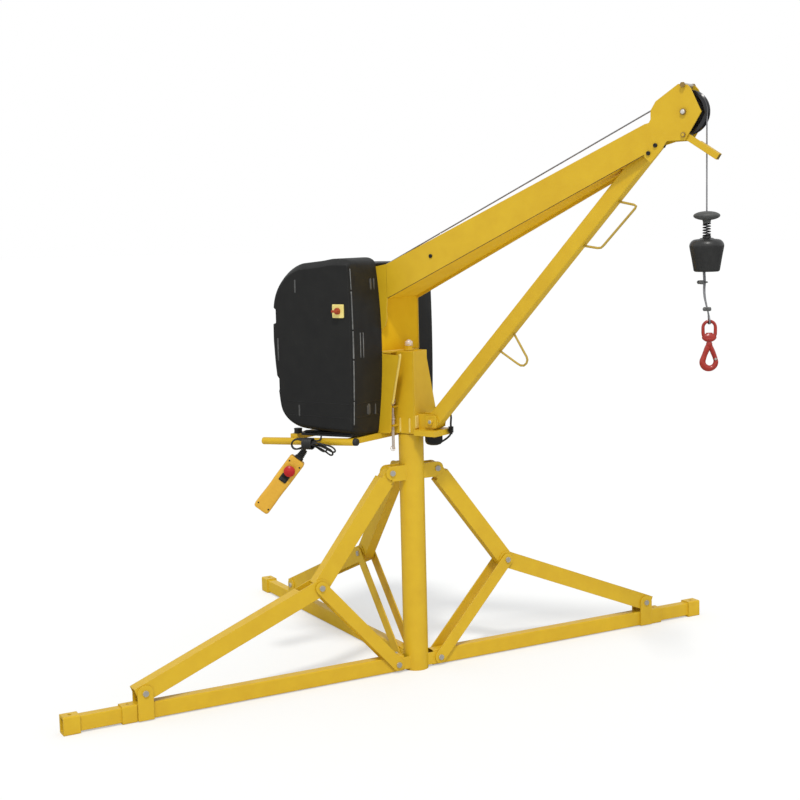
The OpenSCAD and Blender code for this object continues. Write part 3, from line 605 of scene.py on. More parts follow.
def inletBody(s):
    # turned cup; plug whose radius steps in and out with height; collar below it; the cable's gland on the cup
    body = placed(spun(s["cup"], 56), s["place"])
    h = np.linspace(0, s["plugLength"], 41)
    r = s["plugRadius"] + 0.0012 * np.clip(np.cos(h / s["plugLength"] * 2 * np.pi * s["ribs"]) * 2, -1, 1)
    plug = placed(spun(columns(r, h), 32), s["plug"])
    collar = placed(spun(s["collar"], 28), s["plug"])
    gland = placed(spun(s["sleeve"], 28), s["gland"], turned("Z", 32) @ turned("Y", -64))
    return joined(body, plug, collar, gland)


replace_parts(solidPiece("supplyPlugs", inletBody(inlet), "black_plastic", "head", sharp=40), "supply_plugs")
print("frame ends, feet and inlet made")

# lock pin of the head, with its rings
lock = dict(
    place=(-0.033, -0.062), low=0.805, high=0.973, thick=0.924,
    # from the low end up
    foot=[(0.0001, 0), (0.0035, 0), (0.005, 0.0025), (0.005, 0.008), (0.0046, 0.009), (0.0052, 0.01)],
    middle=[(0.0052, 0.887), (0.0052, 0.895), (0.0062, 0.8955), (0.0062, 0.9115), (0.0085, 0.912), (0.0085, 0.917),
            (0.0062, 0.9175)],
    # from the high end
    head=[(0.0052, -0.0052), (0.0098, -0.005), (0.01, -0.0042), (0.01, -0.0008), (0.0094, 0), (0.0001, 0)],
)


def lockPin(s):
    # turned pin with a ring through each end
    x, y = s["place"]
    low, high = s["low"], s["high"]
    thick = [(0.0062, s["thick"]), (0.0052, s["thick"] + 0.0005)]
    profile = [(r, low + h) for r, h in s["foot"]] + s["middle"] + thick + [(r, high + h) for r, h in s["head"]]
    pin = placed(spun(profile, 32), (x, y, 0))
    top = placed(torus(0.0095, 0.0013), (x, y, high + 0.0085), turned("Z", 25) @ turned("X", 90))
    below = placed(torus(0.0085, 0.0012), (x, y - 0.004, low + 0.004), turned("Z", 60) @ turned("X", 68))
    return joined(pin, top, below)


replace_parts(solidPiece("lockPin", lockPin(lock), "zinc", "lock", sharp=45), "lock_pin")

# wire rope
rope = dict(diameter=0.005, lay=0.032, strands=6, dropX=1.119, axle=(1.057, 1.911), line=0.062, slope=0.4576,
            end=-0.160)


def strandedRope(path, s, cols=30):
    # lobed round section that turns as it runs: r = R (0.8 + 0.2 |sin(strands / 2 (a + turn))|)
    path = np.asarray(path, float)
    a = 2 * np.pi * np.arange(cols)[None] / cols
    turn = 2 * np.pi * walkedAlong(path)[:, None] / s["lay"]
    r = s["diameter"] / 2 * (0.8 + 0.2 * np.abs(np.sin(s["strands"] / 2 * (a + turn))))
    return sections(path, r * np.cos(a), r * np.sin(a))


def boomRopePath(s):
    # straight up the slope to the sheave, then round it to where it leaves downwards
    lean = math.atan(s["slope"])
    ax, az = s["axle"]
    z0 = az + s["line"] / math.cos(lean) - s["slope"] * ax
    a = (math.pi / 2 + lean) * (1 - np.linspace(0, 1, 50))
    bend = columns(ax + s["line"] * np.cos(a), 0.0, az + s["line"] * np.sin(a))
    x = np.linspace(s["end"], bend[0, 0], 420)[:-1]
    return np.vstack([columns(x, 0.0, z0 + s["slope"] * x), bend])


boomRope = solidPiece("boomRope", strandedRope(boomRopePath(rope), rope), "wire_rope", "head")
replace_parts(boomRope, "boom_rope")
z = np.linspace(1.911, 1.534, 150)
dropRope = solidPiece("dropRope", strandedRope(columns(rope["dropX"], 0.0, z), rope), "wire_rope")
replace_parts(dropRope, "drop_rope")
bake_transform(dropRope)

# tail of the rope: down from the weight, through the eye and back up, in a frame turned about the drop
tail = dict(turn=35, off=0.008, eye=1.275, bow=0.0088, gap=0.0028,
            line=[(-8, 1427, 30), (-7, 1410, 32), (-6.5, 1395, 35), (-7.5, 1372, 42), (-6, 1350, 52), (-2, 1330, 64),
                  (2, 1313, 76), (5, 1300, 84)])


def onTrain(points, s=tail):
    # points drawn about the drop, turned with the tail and the hook
    return np.asarray(points, float) @ turned("Z", s["turn"]).T + np.array([rope["dropX"], 0, 0])


def tailPath(s):
    # both runs of the tail lie side by side round its line, joined by an arc through the eye
    q = np.array(s["line"], float)
    a = np.radians(q[:, 2])
    lay = columns(np.cos(a), np.sin(a)) * s["gap"]
    down = columns(q[:, 0] / 1000 - lay[:, 0], -lay[:, 1], q[:, 1] / 1000)
    back = columns(q[:, 0] / 1000 + lay[:, 0], lay[:, 1], q[:, 1] / 1000)[::-1]
    eye = np.insert(arc(np.arange(200, 341, 20), s["bow"], (0, s["eye"] + 0.001)), 0, s["off"], 1)
    points = np.vstack([down, [(0.0065, -0.005, 1.290), (s["off"], -s["bow"], 1.278)], eye,
                        [(s["off"], s["bow"], 1.278), (0.0065, 0.005, 1.290)], back])
    return onTrain(smoothPath(points, 260))


tailRope = solidPiece("tailRope", strandedRope(tailPath(tail), dict(rope, diameter=0.0049, lay=0.026), 24), "wire_rope",
                      "hook_block")
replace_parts(tailRope, "tail_rope")


def thimble(s):
    # channel that lines the eye: a U section carried round the lower bend of the rope
    b = np.radians(np.linspace(168, 372, 40))
    section = [(-0.0024, 0.0034), (0.0018, 0.0031), (0.0018, 0.0036), (-0.0030, 0.0040), (-0.0030, -0.0040),
               (0.0018, -0.0036), (0.0018, -0.0031), (-0.0024, -0.0034)]
    rows = []
    for out, side in section:
        r = s["bow"] + out
        rows.append(columns(s["off"] + side, r * np.cos(b), s["eye"] + 0.001 + r * np.sin(b)))
    grid = np.stack(rows, 1)
    return onTrain(grid.reshape(-1, 3)), tubeFaces(40, 8)


solidPiece("eyeThimble", thimble(tail), "spring_steel", "hook_block", sharp=40)
print("wire rope laid")

# spring, its nut, and the disc over it
coil = dict(low=1.534, high=1.575, radius=0.011, wire=0.0018, turns=4.5)


def springWire(s):
    # helix whose ends lie flat: angle grows evenly, height only between the first and the last part of a turn
    t = np.linspace(0, 1, 220)
    climb = np.clip((t - 0.08) / 0.84, 0, 1)
    a = 2 * np.pi * (s["turns"] + 1) * t
    z = s["low"] + s["wire"] + (s["high"] - s["low"] - 2 * s["wire"]) * climb
    return columns(rope["dropX"] + s["radius"] * np.cos(a), s["radius"] * np.sin(a), z)


spring = solidPiece("bufferSpring", carry(springWire(coil), coil["wire"], 10), "spring_steel")
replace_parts(spring, "spring")
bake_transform(spring)


buffer = dict(
    radius=0.0405, rise=0.014, z=1.597,
    neck=[(0.0042, 1.5752), (0.0118, 1.5752), (0.0122, 1.5805), (0.0135, 1.5835)],
    seat=[(0.0062, 1.6108), (0.0045, 1.6104), (0.0042, 1.6085)],
)


def bufferDisc(s):
    # lens section turned about the rope, with a short neck below and a raised seat above
    lens = arc(np.linspace(-74, 84, 40), (s["radius"], s["rise"]), (0, s["z"]))
    profile = np.vstack([s["neck"], lens, s["seat"]])
    points, _ = spun(profile, 72)
    return placed((points, ringFaces(len(profile), 72)), (rope["dropX"], 0, 0))


disc = solidPiece("bufferDisc", bufferDisc(buffer), "black_rubber", "buffer", sharp=50)
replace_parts(disc, "buffer_disc")


casting = dict(
    foot=[(0.0001, 1.427), (0.0165, 1.427), (0.0172, 1.4276), (0.0322, 1.4272)],
    wall=[(0.0455, 1.4665), (0.0513, 1.497)],
    seat=[(0.0225, 1.5272), (0.018, 1.5298), (0.0133, 1.53), (0.013, 1.5296), (0.013, 1.534), (0.0001, 1.534)],
    # first and last angle, count, size, middle
    lowRound=(-88, -4, 10, 0.007, (0.033, 1.434)), highRound=(0, 88, 16, 0.021, (0.0315, 1.505)),
)


def weightBody(s):
    # turned casting: foot, tapered wall, shoulder and seat of the spring, with arcs of a circle between them
    low, high = (arc(np.linspace(*s[key][:3]), *s[key][3:]) for key in ("lowRound", "highRound"))
    profile = np.vstack([s["foot"], low, s["wall"], high, s["seat"]])
    body = placed(spun(profile, 96), (rope["dropX"], 0, 0))
    nut = placed(hexNut(0.021, 0.0042), (rope["dropX"], 0, 1.5342))
    return joined(body, nut)


castWeight = solidPiece("castWeight", weightBody(casting), "weight_iron", "hook_block", sharp=40)
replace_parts(castWeight, "weight")
print("weight, spring and disc made")

# rope clips: saddle, U bolt and two nuts each
clips = dict(places=[(-0.0065, 1.395, 12), (0.002, 1.313, 75)], bolt=0.0024, half=0.008)


def ropeClip(s):
    # U of round bar through a saddle, with a nut on each leg
    saddle = placed(pillow((0.0072, 0.024, 0.0125), 0.3), (-0.0098, 0, 0))
    bend = arc(np.linspace(-90, 90, 21), s["half"])
    reach = np.linspace(-0.021, -0.0005, 9)
    bolt = np.vstack([columns(reach, -s["half"]), bend, columns(reach[::-1], s["half"])])
    bolt = columns(*bolt.T, 0.0)
    nuts = [placed(hexNut(0.0098, 0.0052), (-0.0136, y, 0), turned("Y", -90)) for y in (-s["half"], s["half"])]
    return joined(saddle, carry(bolt, s["bolt"], 12), *nuts)


made = []
for x, z, turn in clips["places"]:
    points, faces = placed(ropeClip(clips), (x, 0, z), turned("Z", turn))
    made.append((onTrain(points), faces))
ropeClips = solidPiece("ropeClips", joined(*made), "zinc", "hook_block", sharp=35)
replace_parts(ropeClips, "rope_clips")

# hook and its swivel bow
hookShape = dict(
    off=0.008, bowl=0.0205, z=1.150, eye=1.275, leg=0.019,
    back=[(0.0005, 0, 1.2035), (-0.0035, 0, 1.197), (-0.0085, 0, 1.185), (-0.0138, 0, 1.172)],
    latch=[(0.0188, 0, 1.158), (0.0172, 0, 1.1645), (0.0128, 0, 1.176), (0.0078, 0, 1.1885), (0.0022, 0, 1.2025)],
    neck=[(0.0001, 1.1925), (0.0062, 1.1945), (0.0088, 1.1978), (0.0095, 1.2015), (0.0095, 1.2065), (0.0085, 1.2092),
          (0.0080, 1.2105), (0.0080, 1.2114), (0.0001, 1.2114)],
    pin=[(0.0001, -0.0088), (0.0034, -0.0088), (0.0038, -0.0080), (0.0038, 0.0080), (0.0034, 0.0088), (0.0001, 0.0088)],
    pinPlace=(0.0185, 0, 1.1585), bowFoot=[(0.0145, 0, 1.2275), (0.0178, 0, 1.2335), (0.0189, 0, 1.243)],
    collar=(1.2122, 1.2397),
)


def onHook(part, s=hookShape):
    # a part drawn about the hook's own line, brought under the eye
    points, faces = placed(part, (s["off"], 0, 0))
    return onTrain(points), faces


def hookBar(s):
    # one bar from the neck down the back, round the bowl and up to the latch, thick below and thinner at both ends
    bowl = upright(arc(np.linspace(158, 390, 46), s["bowl"], (0, s["z"])))
    path = smoothPath(np.vstack([s["back"], bowl]), 110)
    t = np.linspace(0, 1, 110)
    swell, shoulder = 0.0022 * np.exp(-((t - 0.55) / 0.22) ** 2), 0.0012 * np.exp(-((t - 0.1) / 0.1) ** 2)
    r = 0.0068 + swell - 0.0010 * np.clip((t - 0.9) / 0.1, 0, 1) + shoulder
    return carry(path, r, 28, squash=1.12)


def hookLatch(s):
    # safety arm: from the tip of the bowl up to the neck, flatter than the bar
    path = smoothPath(s["latch"], 50)
    t = np.linspace(0, 1, 50)
    r = 0.0064 + 0.0012 * np.sin(np.pi * t) + 0.0006 * np.exp(-((t - 0.08) / 0.07) ** 2)
    return carry(path, r, 24, squash=1.05)


hookParts = [hookBar(hookShape), hookLatch(hookShape), spun(hookShape["neck"], 40)]
redHook = solidPiece("loadHook", onHook(joined(*hookParts)), "red_paint", "hook", sharp=50)
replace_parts(redHook, "hook")
latchPin = placed(spun(hookShape["pin"], 24, "Y"), hookShape["pinPlace"])
solidPiece("hookLatchPin", onHook(latchPin), "zinc", "hook", sharp=40)


def swivelBow(s):
    # bow of round bar thickened at its crown, its legs drawn in to a forged collar
    crown = upright(arc(np.linspace(0, 180, 30), s["leg"], (0, s["eye"] - s["leg"])))
    left = [(-x, y, z) for x, y, z in s["bowFoot"][::-1]]
    path = smoothPath(np.vstack([s["bowFoot"], crown, left]), 90)
    t = np.linspace(0, 1, 90)
    r = 0.0048 + 0.0009 * np.abs(2 * t - 1) ** 2
    h = np.linspace(0, 1, 40)
    low, high = s["collar"]
    profile = columns(0.0095 + 0.013 * np.sin(np.pi * np.clip(h * 1.08, 0, 1)) ** 0.8, low + (high - low) * h)
    profile = np.vstack([[(0.0001, low)], profile, [(0.0001, high)]])
    points, faces = spun(profile, 48)
    # forged flat above, round below where the hook turns
    points[:, 1] *= 0.42 + 0.3 * np.clip((1.224 - points[:, 2]) / 0.012, 0, 1)
    return joined(carry(path, r, 20), (points, faces))


swivel = solidPiece("hookSwivel", onHook(swivelBow(hookShape)), "red_paint", "hook_block", sharp=50)
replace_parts(swivel, "hook_swivel")
print("hook made")

# pendant
pendant = dict(
    top=(-0.286, -0.285, 0.785), turn=35.4, tilt=38.1, width=0.060, depth=0.042, length=0.224, stop=0.049, rocker=0.081,
    waist=(0.045, 0.62, 0.16),  # depth, middle and reach, as shares
    collar=[(0.0085, 0), (0.0165, 0), (0.0165, 0.0012), (0.015, 0.0022), (0.0085, 0.0022)],
    bezel=(0.030, 0.0022, 0.030),
    screw=[(0.0001, 0.0007), (0.0026, 0.0006), (0.0031, 0)], screwX=0.0215, screwZ=(0.020, 0.205),
    stem=[(0.0001, -0.006), (0.0078, -0.006), (0.0078, 0.0100), (0.0001, 0.0100)],
    under=[(0.0001, 0.0079), (0.0165, 0.0084)],
    dome=[(0.0155, 0.0162), (0.0105, 0.0186), (0.005, 0.0203), (0.0001, 0.0208)],
    rockerHalf=0.0125, rockerBar=(0.009, 0.0012, 0.0014), barZ=0.0085,
)
pendantTurn = turned("Z", pendant["turn"]) @ turned("Y", pendant["tilt"] + 180)


def onPendant(part, s=pendant):
    # a part given along the pendant, from its top down, brought to its place
    return placed(part, s["top"], pendantTurn)


def pendantBody(s):
    # rounded rectangle carried along the length, drawn in by a quarter ellipse at both ends and a waist at the grip
    t = np.concatenate([np.linspace(0, 0.06, 12), np.linspace(0.08, 0.92, 36), np.linspace(0.94, 1, 12)])
    a = 2 * np.pi * (np.arange(64) + 0.5) / 64
    end = np.minimum(t, 1 - t) / 0.05
    draw = np.sqrt(np.clip(1 - (1 - np.clip(end, 0, 1)) ** 2, 0, 1))
    dip, middle, reach = s["waist"]
    w = s["width"] / 2 * (0.80 + 0.2 * draw) * (1 - dip * np.exp(-((t - middle) / reach) ** 2))
    d = s["depth"] / 2 * (0.86 + 0.14 * draw)
    x, y = (size[:, None] * signedPower(wave, 0.32) for size, wave in ((w, np.cos(a)), (d, np.sin(a))))
    return columns(x, y, t[:, None] * s["length"]).reshape(-1, 3), tubeFaces(len(t), 64)


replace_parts(solidPiece("pendantBody", onPendant(pendantBody(pendant)), "orange_plastic", "head", sharp=40), "pendant")


def pendantTrim(s):
    # collar of the stop button, frame of the rocker, screws of the front half
    y = -s["depth"] / 2
    collar = placed(spun(s["collar"], 40, "Y"), (0, y, s["stop"]))
    bezel = placed(pillow(s["bezel"], 0.2), (0, y - 0.0006, s["rocker"]))
    screw = spun(s["screw"], 18, "Y")
    screws = [placed(screw, (x, y, z)) for x in (-s["screwX"], s["screwX"]) for z in s["screwZ"]]
    return joined(collar, bezel, *screws)


newPiece("pendantTrim", *onPendant(pendantTrim(pendant)), "black_plastic", "head", sharp=40)


def stopButton(s):
    # mushroom head with a rounded rim over its stem
    y = -s["depth"] / 2
    rim = arc(np.linspace(-70, 80, 12), (0.0028, 0.003), (0.0172, 0.0118))
    head = spun(np.vstack([s["under"][1:], rim, s["dome"]]), 48, "Y")
    stem, under = spun(s["stem"], 32, "Y"), spun(s["under"], 48, "Y")
    return placed(joined(stem, head, under), (0, y, s["stop"]))


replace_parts(solidPiece("stopButton", onPendant(stopButton(pendant)), "red_plastic", "stop", sharp=40), "stop_button")


def rockerSwitch(s):
    # two sloping halves that meet in a valley, each with a short raised bar
    y = -s["depth"] / 2
    rows, cols, half = 21, 33, s["rockerHalf"]
    u, v = np.meshgrid(np.linspace(-1, 1, rows), np.linspace(-1, 1, cols), indexing="ij")
    rise = 0.0022 + 0.0030 * np.abs(v) ** 1.3 - 0.0012 * np.abs(u) ** 8 - 0.0090 * np.clip(np.abs(v) - 0.9, 0, 1)
    top, base = (columns(half * u, height, s["rocker"] + half * v) for height in (y - 0.0006 - rise, y + 0.001))
    grid = np.concatenate([top.reshape(-1, 3), base.reshape(-1, 3)])
    faces = gridFaces(rows, cols, closed=False)
    n = rows * cols
    faces += [tuple(i + n for i in q[::-1]) for q in faces]
    rim = [i * cols for i in range(rows)] + [(rows - 1) * cols + j for j in range(1, cols)]
    rim += [i * cols + cols - 1 for i in range(rows - 2, -1, -1)] + list(range(cols - 2, 0, -1))
    faces += [(p, q, q + n, p + n) for p, q in zip(rim, rim[1:] + rim[:1])]
    bar = pillow(s["rockerBar"], 0.4)
    bars = [placed(bar, (0, y - 0.0050, s["rocker"] + dz)) for dz in (-s["barZ"], s["barZ"])]
    return joined((grid, faces), *bars)


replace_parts(solidPiece("hoistRocker", onPendant(rockerSwitch(pendant)), "black_plastic", "head", sharp=40),
            "hoist_rocker")


gland = dict(across=0.028, height=0.0095, ribs=5, mouth=[(0.0031, -0.0405), (0.0085, -0.0400)])


def pendantGland(s):
    # nut under a ribbed sleeve that narrows towards the lead
    nut = placed(hexNut(s["across"], s["height"]), (0, 0, -s["height"]))
    h = np.linspace(0, 1, 61)
    ribs = 0.0011 * np.clip(np.cos(2 * np.pi * s["ribs"] * h) * 3, -1, 1) * (h > 0.05) * (h < 0.96)
    wall = columns(0.0105 + 0.0030 * h + ribs, -0.039 + 0.0295 * h)
    sleeve = spun(np.vstack([s["mouth"], wall, [(0.0001, -0.0094)]]), 36)
    return joined(nut, sleeve)


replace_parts(solidPiece("pendantGland", onPendant(pendantGland(gland)), "black_rubber", "head", sharp=45),
            "pendant_gland")
print("pendant made")


# boom arm in millimetres: side plates cut to outline that lean in from the bend to the tip, shelf and web
boom = dict(
    half=95, taper=0.058442, bend=-21, sheet=4, slope=0.47056, low=1341, floorEnd=838,
    tip=[(986, 1801), (1003, 1826), (1061, 1826), (1075, 1847), (1113, 1908), (1079, 1980), (1069, 1991), (1040, 1995),
         (968, 1948), (951, 1921), (951, 1894), (945, 1884), (931, 1881), (-21, 1459)],
    rear=[(-150, 866), (-150, 1180), (-215, 1290), (-215, 1440), (-60, 1452), (-21, 1459)],
    column=[(-21, 1341), (-24, 1310), (-24, 1268), (-33, 1243), (-50, 1228), (-53, 1200), (-53, 1147)],
    gusset=[(22, 1142), (26, 1137), (4, 1038), (-8, 982), (-14, 973), (-19, 874), (-24, 867)],
    lug=[(931, 1779), (950, 1763), (966, 1778)],
    shelf=[(-110, -94), (-21, -94), (-21, -45), (-45, -45), (-45, 45), (-21, 45), (-21, 94), (-110, 94)],
    front=[(-56, -94), (-52, -94), (-22, 94), (-26, 94)],
)


def prism(outline, place):
    # an outline given twice through a placing rule, once for each of its two ends, joined by side faces
    rows = [place(np.asarray(outline, float), k) for k in (0, 1)]
    return np.vstack(rows) / 1000, tubeFaces(2, len(outline))


def flatPlate(outline, y):
    return prism(outline, lambda o, k: columns(o[:, 0], y[k], o[:, 1]))


def levelPlate(outline, z):
    return prism(outline, lambda o, k: columns(o[:, 0], o[:, 1], z[k]))


def boomEdge(b, x):
    # height of the lower edge and half width of the boom at a distance along it
    return b["low"] + b["slope"] * (x - b["bend"]), b["half"] - b["taper"] * (x - b["bend"])


def boomArm(b):
    # side plates given as outlines and leant in by the half width at each distance, with the plates between them
    def leaning(outline, side):
        def place(o, k):
            y = side * (boomEdge(b, o[:, 0])[1] - k * b["sheet"])
            return columns(o[:, 0], y, o[:, 1])
        return prism(outline, place)

    root = (b["bend"], b["low"])
    nearSide = [root, (930, boomEdge(b, 930)[0])] + b["lug"] + b["tip"]
    farSide = [(b["bend"], b["low"] - 9), (926, boomEdge(b, 926)[0] - 9), (950, 1800), (970, 1818)] + b["tip"][1:]
    h, t = b["half"], b["sheet"]
    return joined(
        leaning(nearSide, -1), leaning(farSide, 1),
        flatPlate(b["column"] + b["gusset"] + b["rear"], (-h, -h + t)),
        flatPlate(b["column"][:1] + [(-21, 866)] + b["rear"], (h, h - t)),
        levelPlate(b["shelf"], (1149, 1153)),
        levelPlate([(-50, -94), (-45, -94), (-45, 94), (-50, 94)], (866, 1150)),
    )


boomArmPiece = solidPiece("boomArm", boomArm(boom), "yellow_paint", "head", smooth=False)
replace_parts(boomArmPiece, "boom_arm")


def boomFloor(b):
    # sheet between the side plates under the column and the boom, as wide as they leave it
    t = b["sheet"]
    x = np.array([b["bend"], b["floorEnd"]], float)
    low, wide = boomEdge(b, x)
    floor = [(-56, b["low"]), (x[0], low[0]), (x[1], low[1]), (x[1], low[1] + t), (x[0], low[0] + t),
             (-56, b["low"] + t)]
    lying = prism(floor, lambda o, k: columns(o[:, 0], (2 * k - 1) * (np.interp(o[:, 0], x, wide) - 1), o[:, 1]))
    return joined(lying, levelPlate(b["front"], (1151, 1342)))


solidPiece("boomFloor", boomFloor(boom), "yellow_paint", "head", smooth=False)


def boomBeads(b):
    # bead along the front edge of the gusset, and welds round the shelf
    edge = smoothPath(np.array([(x + 1, -93, z) for x, z in b["gusset"][:5]]) / 1000, 60)
    shelf = smoothPath(np.array([(-54, -92, 1154), (-40, -60, 1154), (-24, 0, 1154)]) / 1000, 30)
    return joined(carry(edge, 0.0042, 12), carry(shelf, 0.002, 8))


newPiece("boomBeads", *boomBeads(boom), "yellow_paint", "head")


def boomSeam(b):
    # dark line under the near side plate, where the floor meets it: painted shadow of the gap between them
    x = np.linspace(b["bend"] + 2, 925, 60)
    z, wide = boomEdge(b, x)
    return carry(columns(x, -wide + 1.2, z - 0.6) / 1000, 0.0013, 8)


newPiece("boomSeam", *boomSeam(boom), "black_rubber", "head")

# bolts of the boom: (x, half length, z) in metres, each with its own head
bolts = dict(
    axle=(1.057, 0.0360, 1.911), top=(1.057, 0.0355, 1.991), lever=(1.057, 0.0355, 1.842), foot=(0.106, 0.0270, 0.907),
    small=[(0.967, 0.0385, 1.815), (0.944, 0.0398, 1.792), (0.158, 0.0845, 1.485)], lean=3.345,
    cap=[(0.0062, -0.006), (0.0066, -0.006), (0.0066, 0.0030), (0.0060, 0.0038), (0.0036, 0.0040), (0.0034, 0.0024),
         (0.0001, 0.0024)],
)


def bothEnds(part, place):
    # a part given with its outer end towards minus Y, at both ends of a bolt
    x, half, z = place
    return joined(placed(part, (x, -half, z)), placed(part, (x, half, z), turned("Z", 180)))


def crossBar(place, radius):
    # plain shank between two heads, its ends eased by a small round
    x, half, z = place
    r = radius
    bar = spun([(0.0001, -half), (r * 0.9, -half), (r, -half + 0.001), (r, half - 0.001), (r * 0.9, half),
                (0.0001, half)], 32, "Y")
    return placed(bar, (x, 0, z))


def domed(radius, height, hollow=0.0):
    # round head: quarter ellipse at its rim, with a shallow hollow where one is given
    a = np.radians(np.linspace(0, 85, 8))
    rim = columns(radius * (0.72 + 0.28 * np.cos(a)), height * (0.4 + 0.6 * np.sin(a)))
    inside = [(0.0001, height)]
    if hollow:
        inside = [(radius * hollow, height), (radius * hollow * 0.9, height * 0.4), (0.0001, height * 0.4)]
    return spun(np.vstack([[(0.0001, -0.002), (radius, -0.002), (radius, 0)], rim, inside]), 36, "Y")


shanks = [("axle", 0.0088), ("top", 0.006), ("foot", 0.007), ("lever", 0.006)]
steelBolts = [crossBar(bolts[name], radius) for name, radius in shanks]
steelBolts.append(bothEnds(placed(domed(0.0075, 0.006), (0, -0.0045, 0)), bolts["foot"]))
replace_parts(solidPiece("boomBolts", joined(*steelBolts), "zinc", "head", sharp=40), "boom_bolts")


def paintedBolts(b):
    washer = bothEnds(placed(pillow((0.045, 0.0042, 0.043), 0.14), (0, -0.0015, 0)), b["foot"])
    footNut = placed(hexNut(0.021, 0.0065), (0, -0.003, 0), turned("X", 90))
    return joined(bothEnds(domed(0.0052, 0.0035), b["lever"]), washer, bothEnds(footNut, b["foot"]))


solidPiece("paintedBolts", paintedBolts(bolts), "yellow_paint", "head", sharp=35)
rings = [bothEnds(domed(0.0098, 0.0034, 0.7), bolts["axle"]), bothEnds(domed(0.0075, 0.003, 0.6), bolts["lever"]),
         bothEnds(placed(hexNut(0.0150, 0.0065), (0, 0, 0), turned("X", 90)), bolts["top"])]
solidPiece("axleRings", joined(*rings), "spring_steel", "head", sharp=40)
solidPiece("axleEnds", bothEnds(placed(domed(0.0070, 0.0040), (0, -0.001, 0)), bolts["axle"]), "zinc", "head", sharp=40)


def boltHeads(s):
    # low turned cap with a socket, lying on the leaning side plate
    cap = spun(s["cap"], 32, "Y")
    parts = []
    for x, y, z in s["small"]:
        far = 0.0198 if x > 0.5 else y  # the two upper ones end on the brace, the lower one on the far plate
        parts.append(placed(cap, (x, -y, z), turned("Z", s["lean"])))
        parts.append(placed(cap, (x, far, z), turned("Z", 180 - (0 if x > 0.5 else s["lean"]))))
    return joined(*parts)


solidPiece("boltHeads", boltHeads(bolts), "black_plastic", "head", sharp=40)

# ribs at the foot of the head tube: short bars welded upright to its face and corner, with rounded edges
ribs = [placed(pillow((0.006, 0.0045, 0.050), 0.25), (x, -0.0465, 0.892)) for x in (-0.012, 0.0285)]
ribs += [placed(pillow((0.0045, 0.006, 0.044), 0.25), (0.0515, y, 0.905)) for y in (-0.0405, -0.030)]
newPiece("footRibs", *joined(*ribs), "yellow_paint", "head", sharp=40)

# limit lever: a flat bar on the near stub that widens to a hollow box, as (along, up) in millimetres
lever = dict(place=(1057, 1842), tilt=33.3, side=(-24.5, -19), box=(-19.5, -5.5), high=10, long=128, boxFrom=52,
             wall=2.5, eye=11.5)


def onLever(outline, y, s=lever):
    # a plate drawn along the bar, tilted about the stub
    c, k = math.cos(math.radians(s["tilt"])), math.sin(math.radians(s["tilt"]))
    along, up = np.asarray(outline, float).T
    x, z = s["place"]
    return flatPlate(columns(x + along * c + up * k, z - along * k + up * c), y)


def limitLever(s):
    # round end about the stub, the bar, and the box's upper, lower and far walls
    h, w = s["high"], s["wall"]
    eye = [(s["eye"] * math.cos(v), s["eye"] * math.sin(v)) for v in np.radians(np.linspace(90, 270, 13))]
    bar = eye + [(8, -h), (s["long"], -h), (s["long"], h), (8, h)]
    far = (s["box"][1] - w, s["box"][1])
    parts = [onLever(bar, s["side"])]
    for low, high, y in ((h - w, h, s["box"]), (-h, w - h, s["box"]), (-h, h, far)):
        parts.append(onLever([(s["boxFrom"], low), (s["long"], low), (s["long"], high), (s["boxFrom"], high)], y))
    return joined(*parts)


def leverEnd(s):
    # dark end set in the open end of the box, darkened yellow: painted shade of its hollow inside
    h = s["high"] - s["wall"] + 0.5
    return onLever([(s["long"] - 14, -h), (s["long"] + 0.6, -h), (s["long"] + 0.6, h), (s["long"] - 14, h)],
                   (s["side"][0] + 2, s["box"][1] - s["wall"] + 0.5))


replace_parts(solidPiece("limitLever", limitLever(lever), "yellow_paint", "lever", smooth=False), "limit_lever")
solidPiece("leverEnd", leverEnd(lever), "black_rubber", "lever", smooth=False)

# stud that stands on the pivot nut
stud = spun([(0.0001, 0), (0.0150, 0), (0.0150, 0.0025), (0.0132, 0.003), (0.0135, 0.012), (0.0118, 0.0150),
             (0.0070, 0.0165), (0.0066, 0.0195), (0.0001, 0.0200)], 32)
solidPiece("pivotStud", placed(stud, (0, 0, 1.1705)), "zinc", "head", sharp=40)
print("boom and bolts made")

# finishes: shared effects are node groups that put out masks, colours and normals


def newGroup(name, inputs, outputs):
    group = bpy.data.node_groups.new(name, "ShaderNodeTree")
    for label, kind, value in inputs:
        socket = group.interface.new_socket(label, in_out="INPUT", socket_type="NodeSocket" + kind)
        if value is not None:
            socket.default_value = value
    for label, kind in outputs:
        group.interface.new_socket(label, in_out="OUTPUT", socket_type="NodeSocket" + kind)
    return group, group.nodes.new("NodeGroupInput"), group.nodes.new("NodeGroupOutput")


def addNode(tree, kind, links=None, **values):
    node = tree.nodes.new("ShaderNode" + kind)
    for key, value in values.items():
        setattr(node, key, value)
    for key, value in (links or {}).items():
        socket = node.inputs[key]
        if isinstance(value, bpy.types.NodeSocket):
            tree.links.new(value, socket)
        else:
            socket.default_value = value
    return node


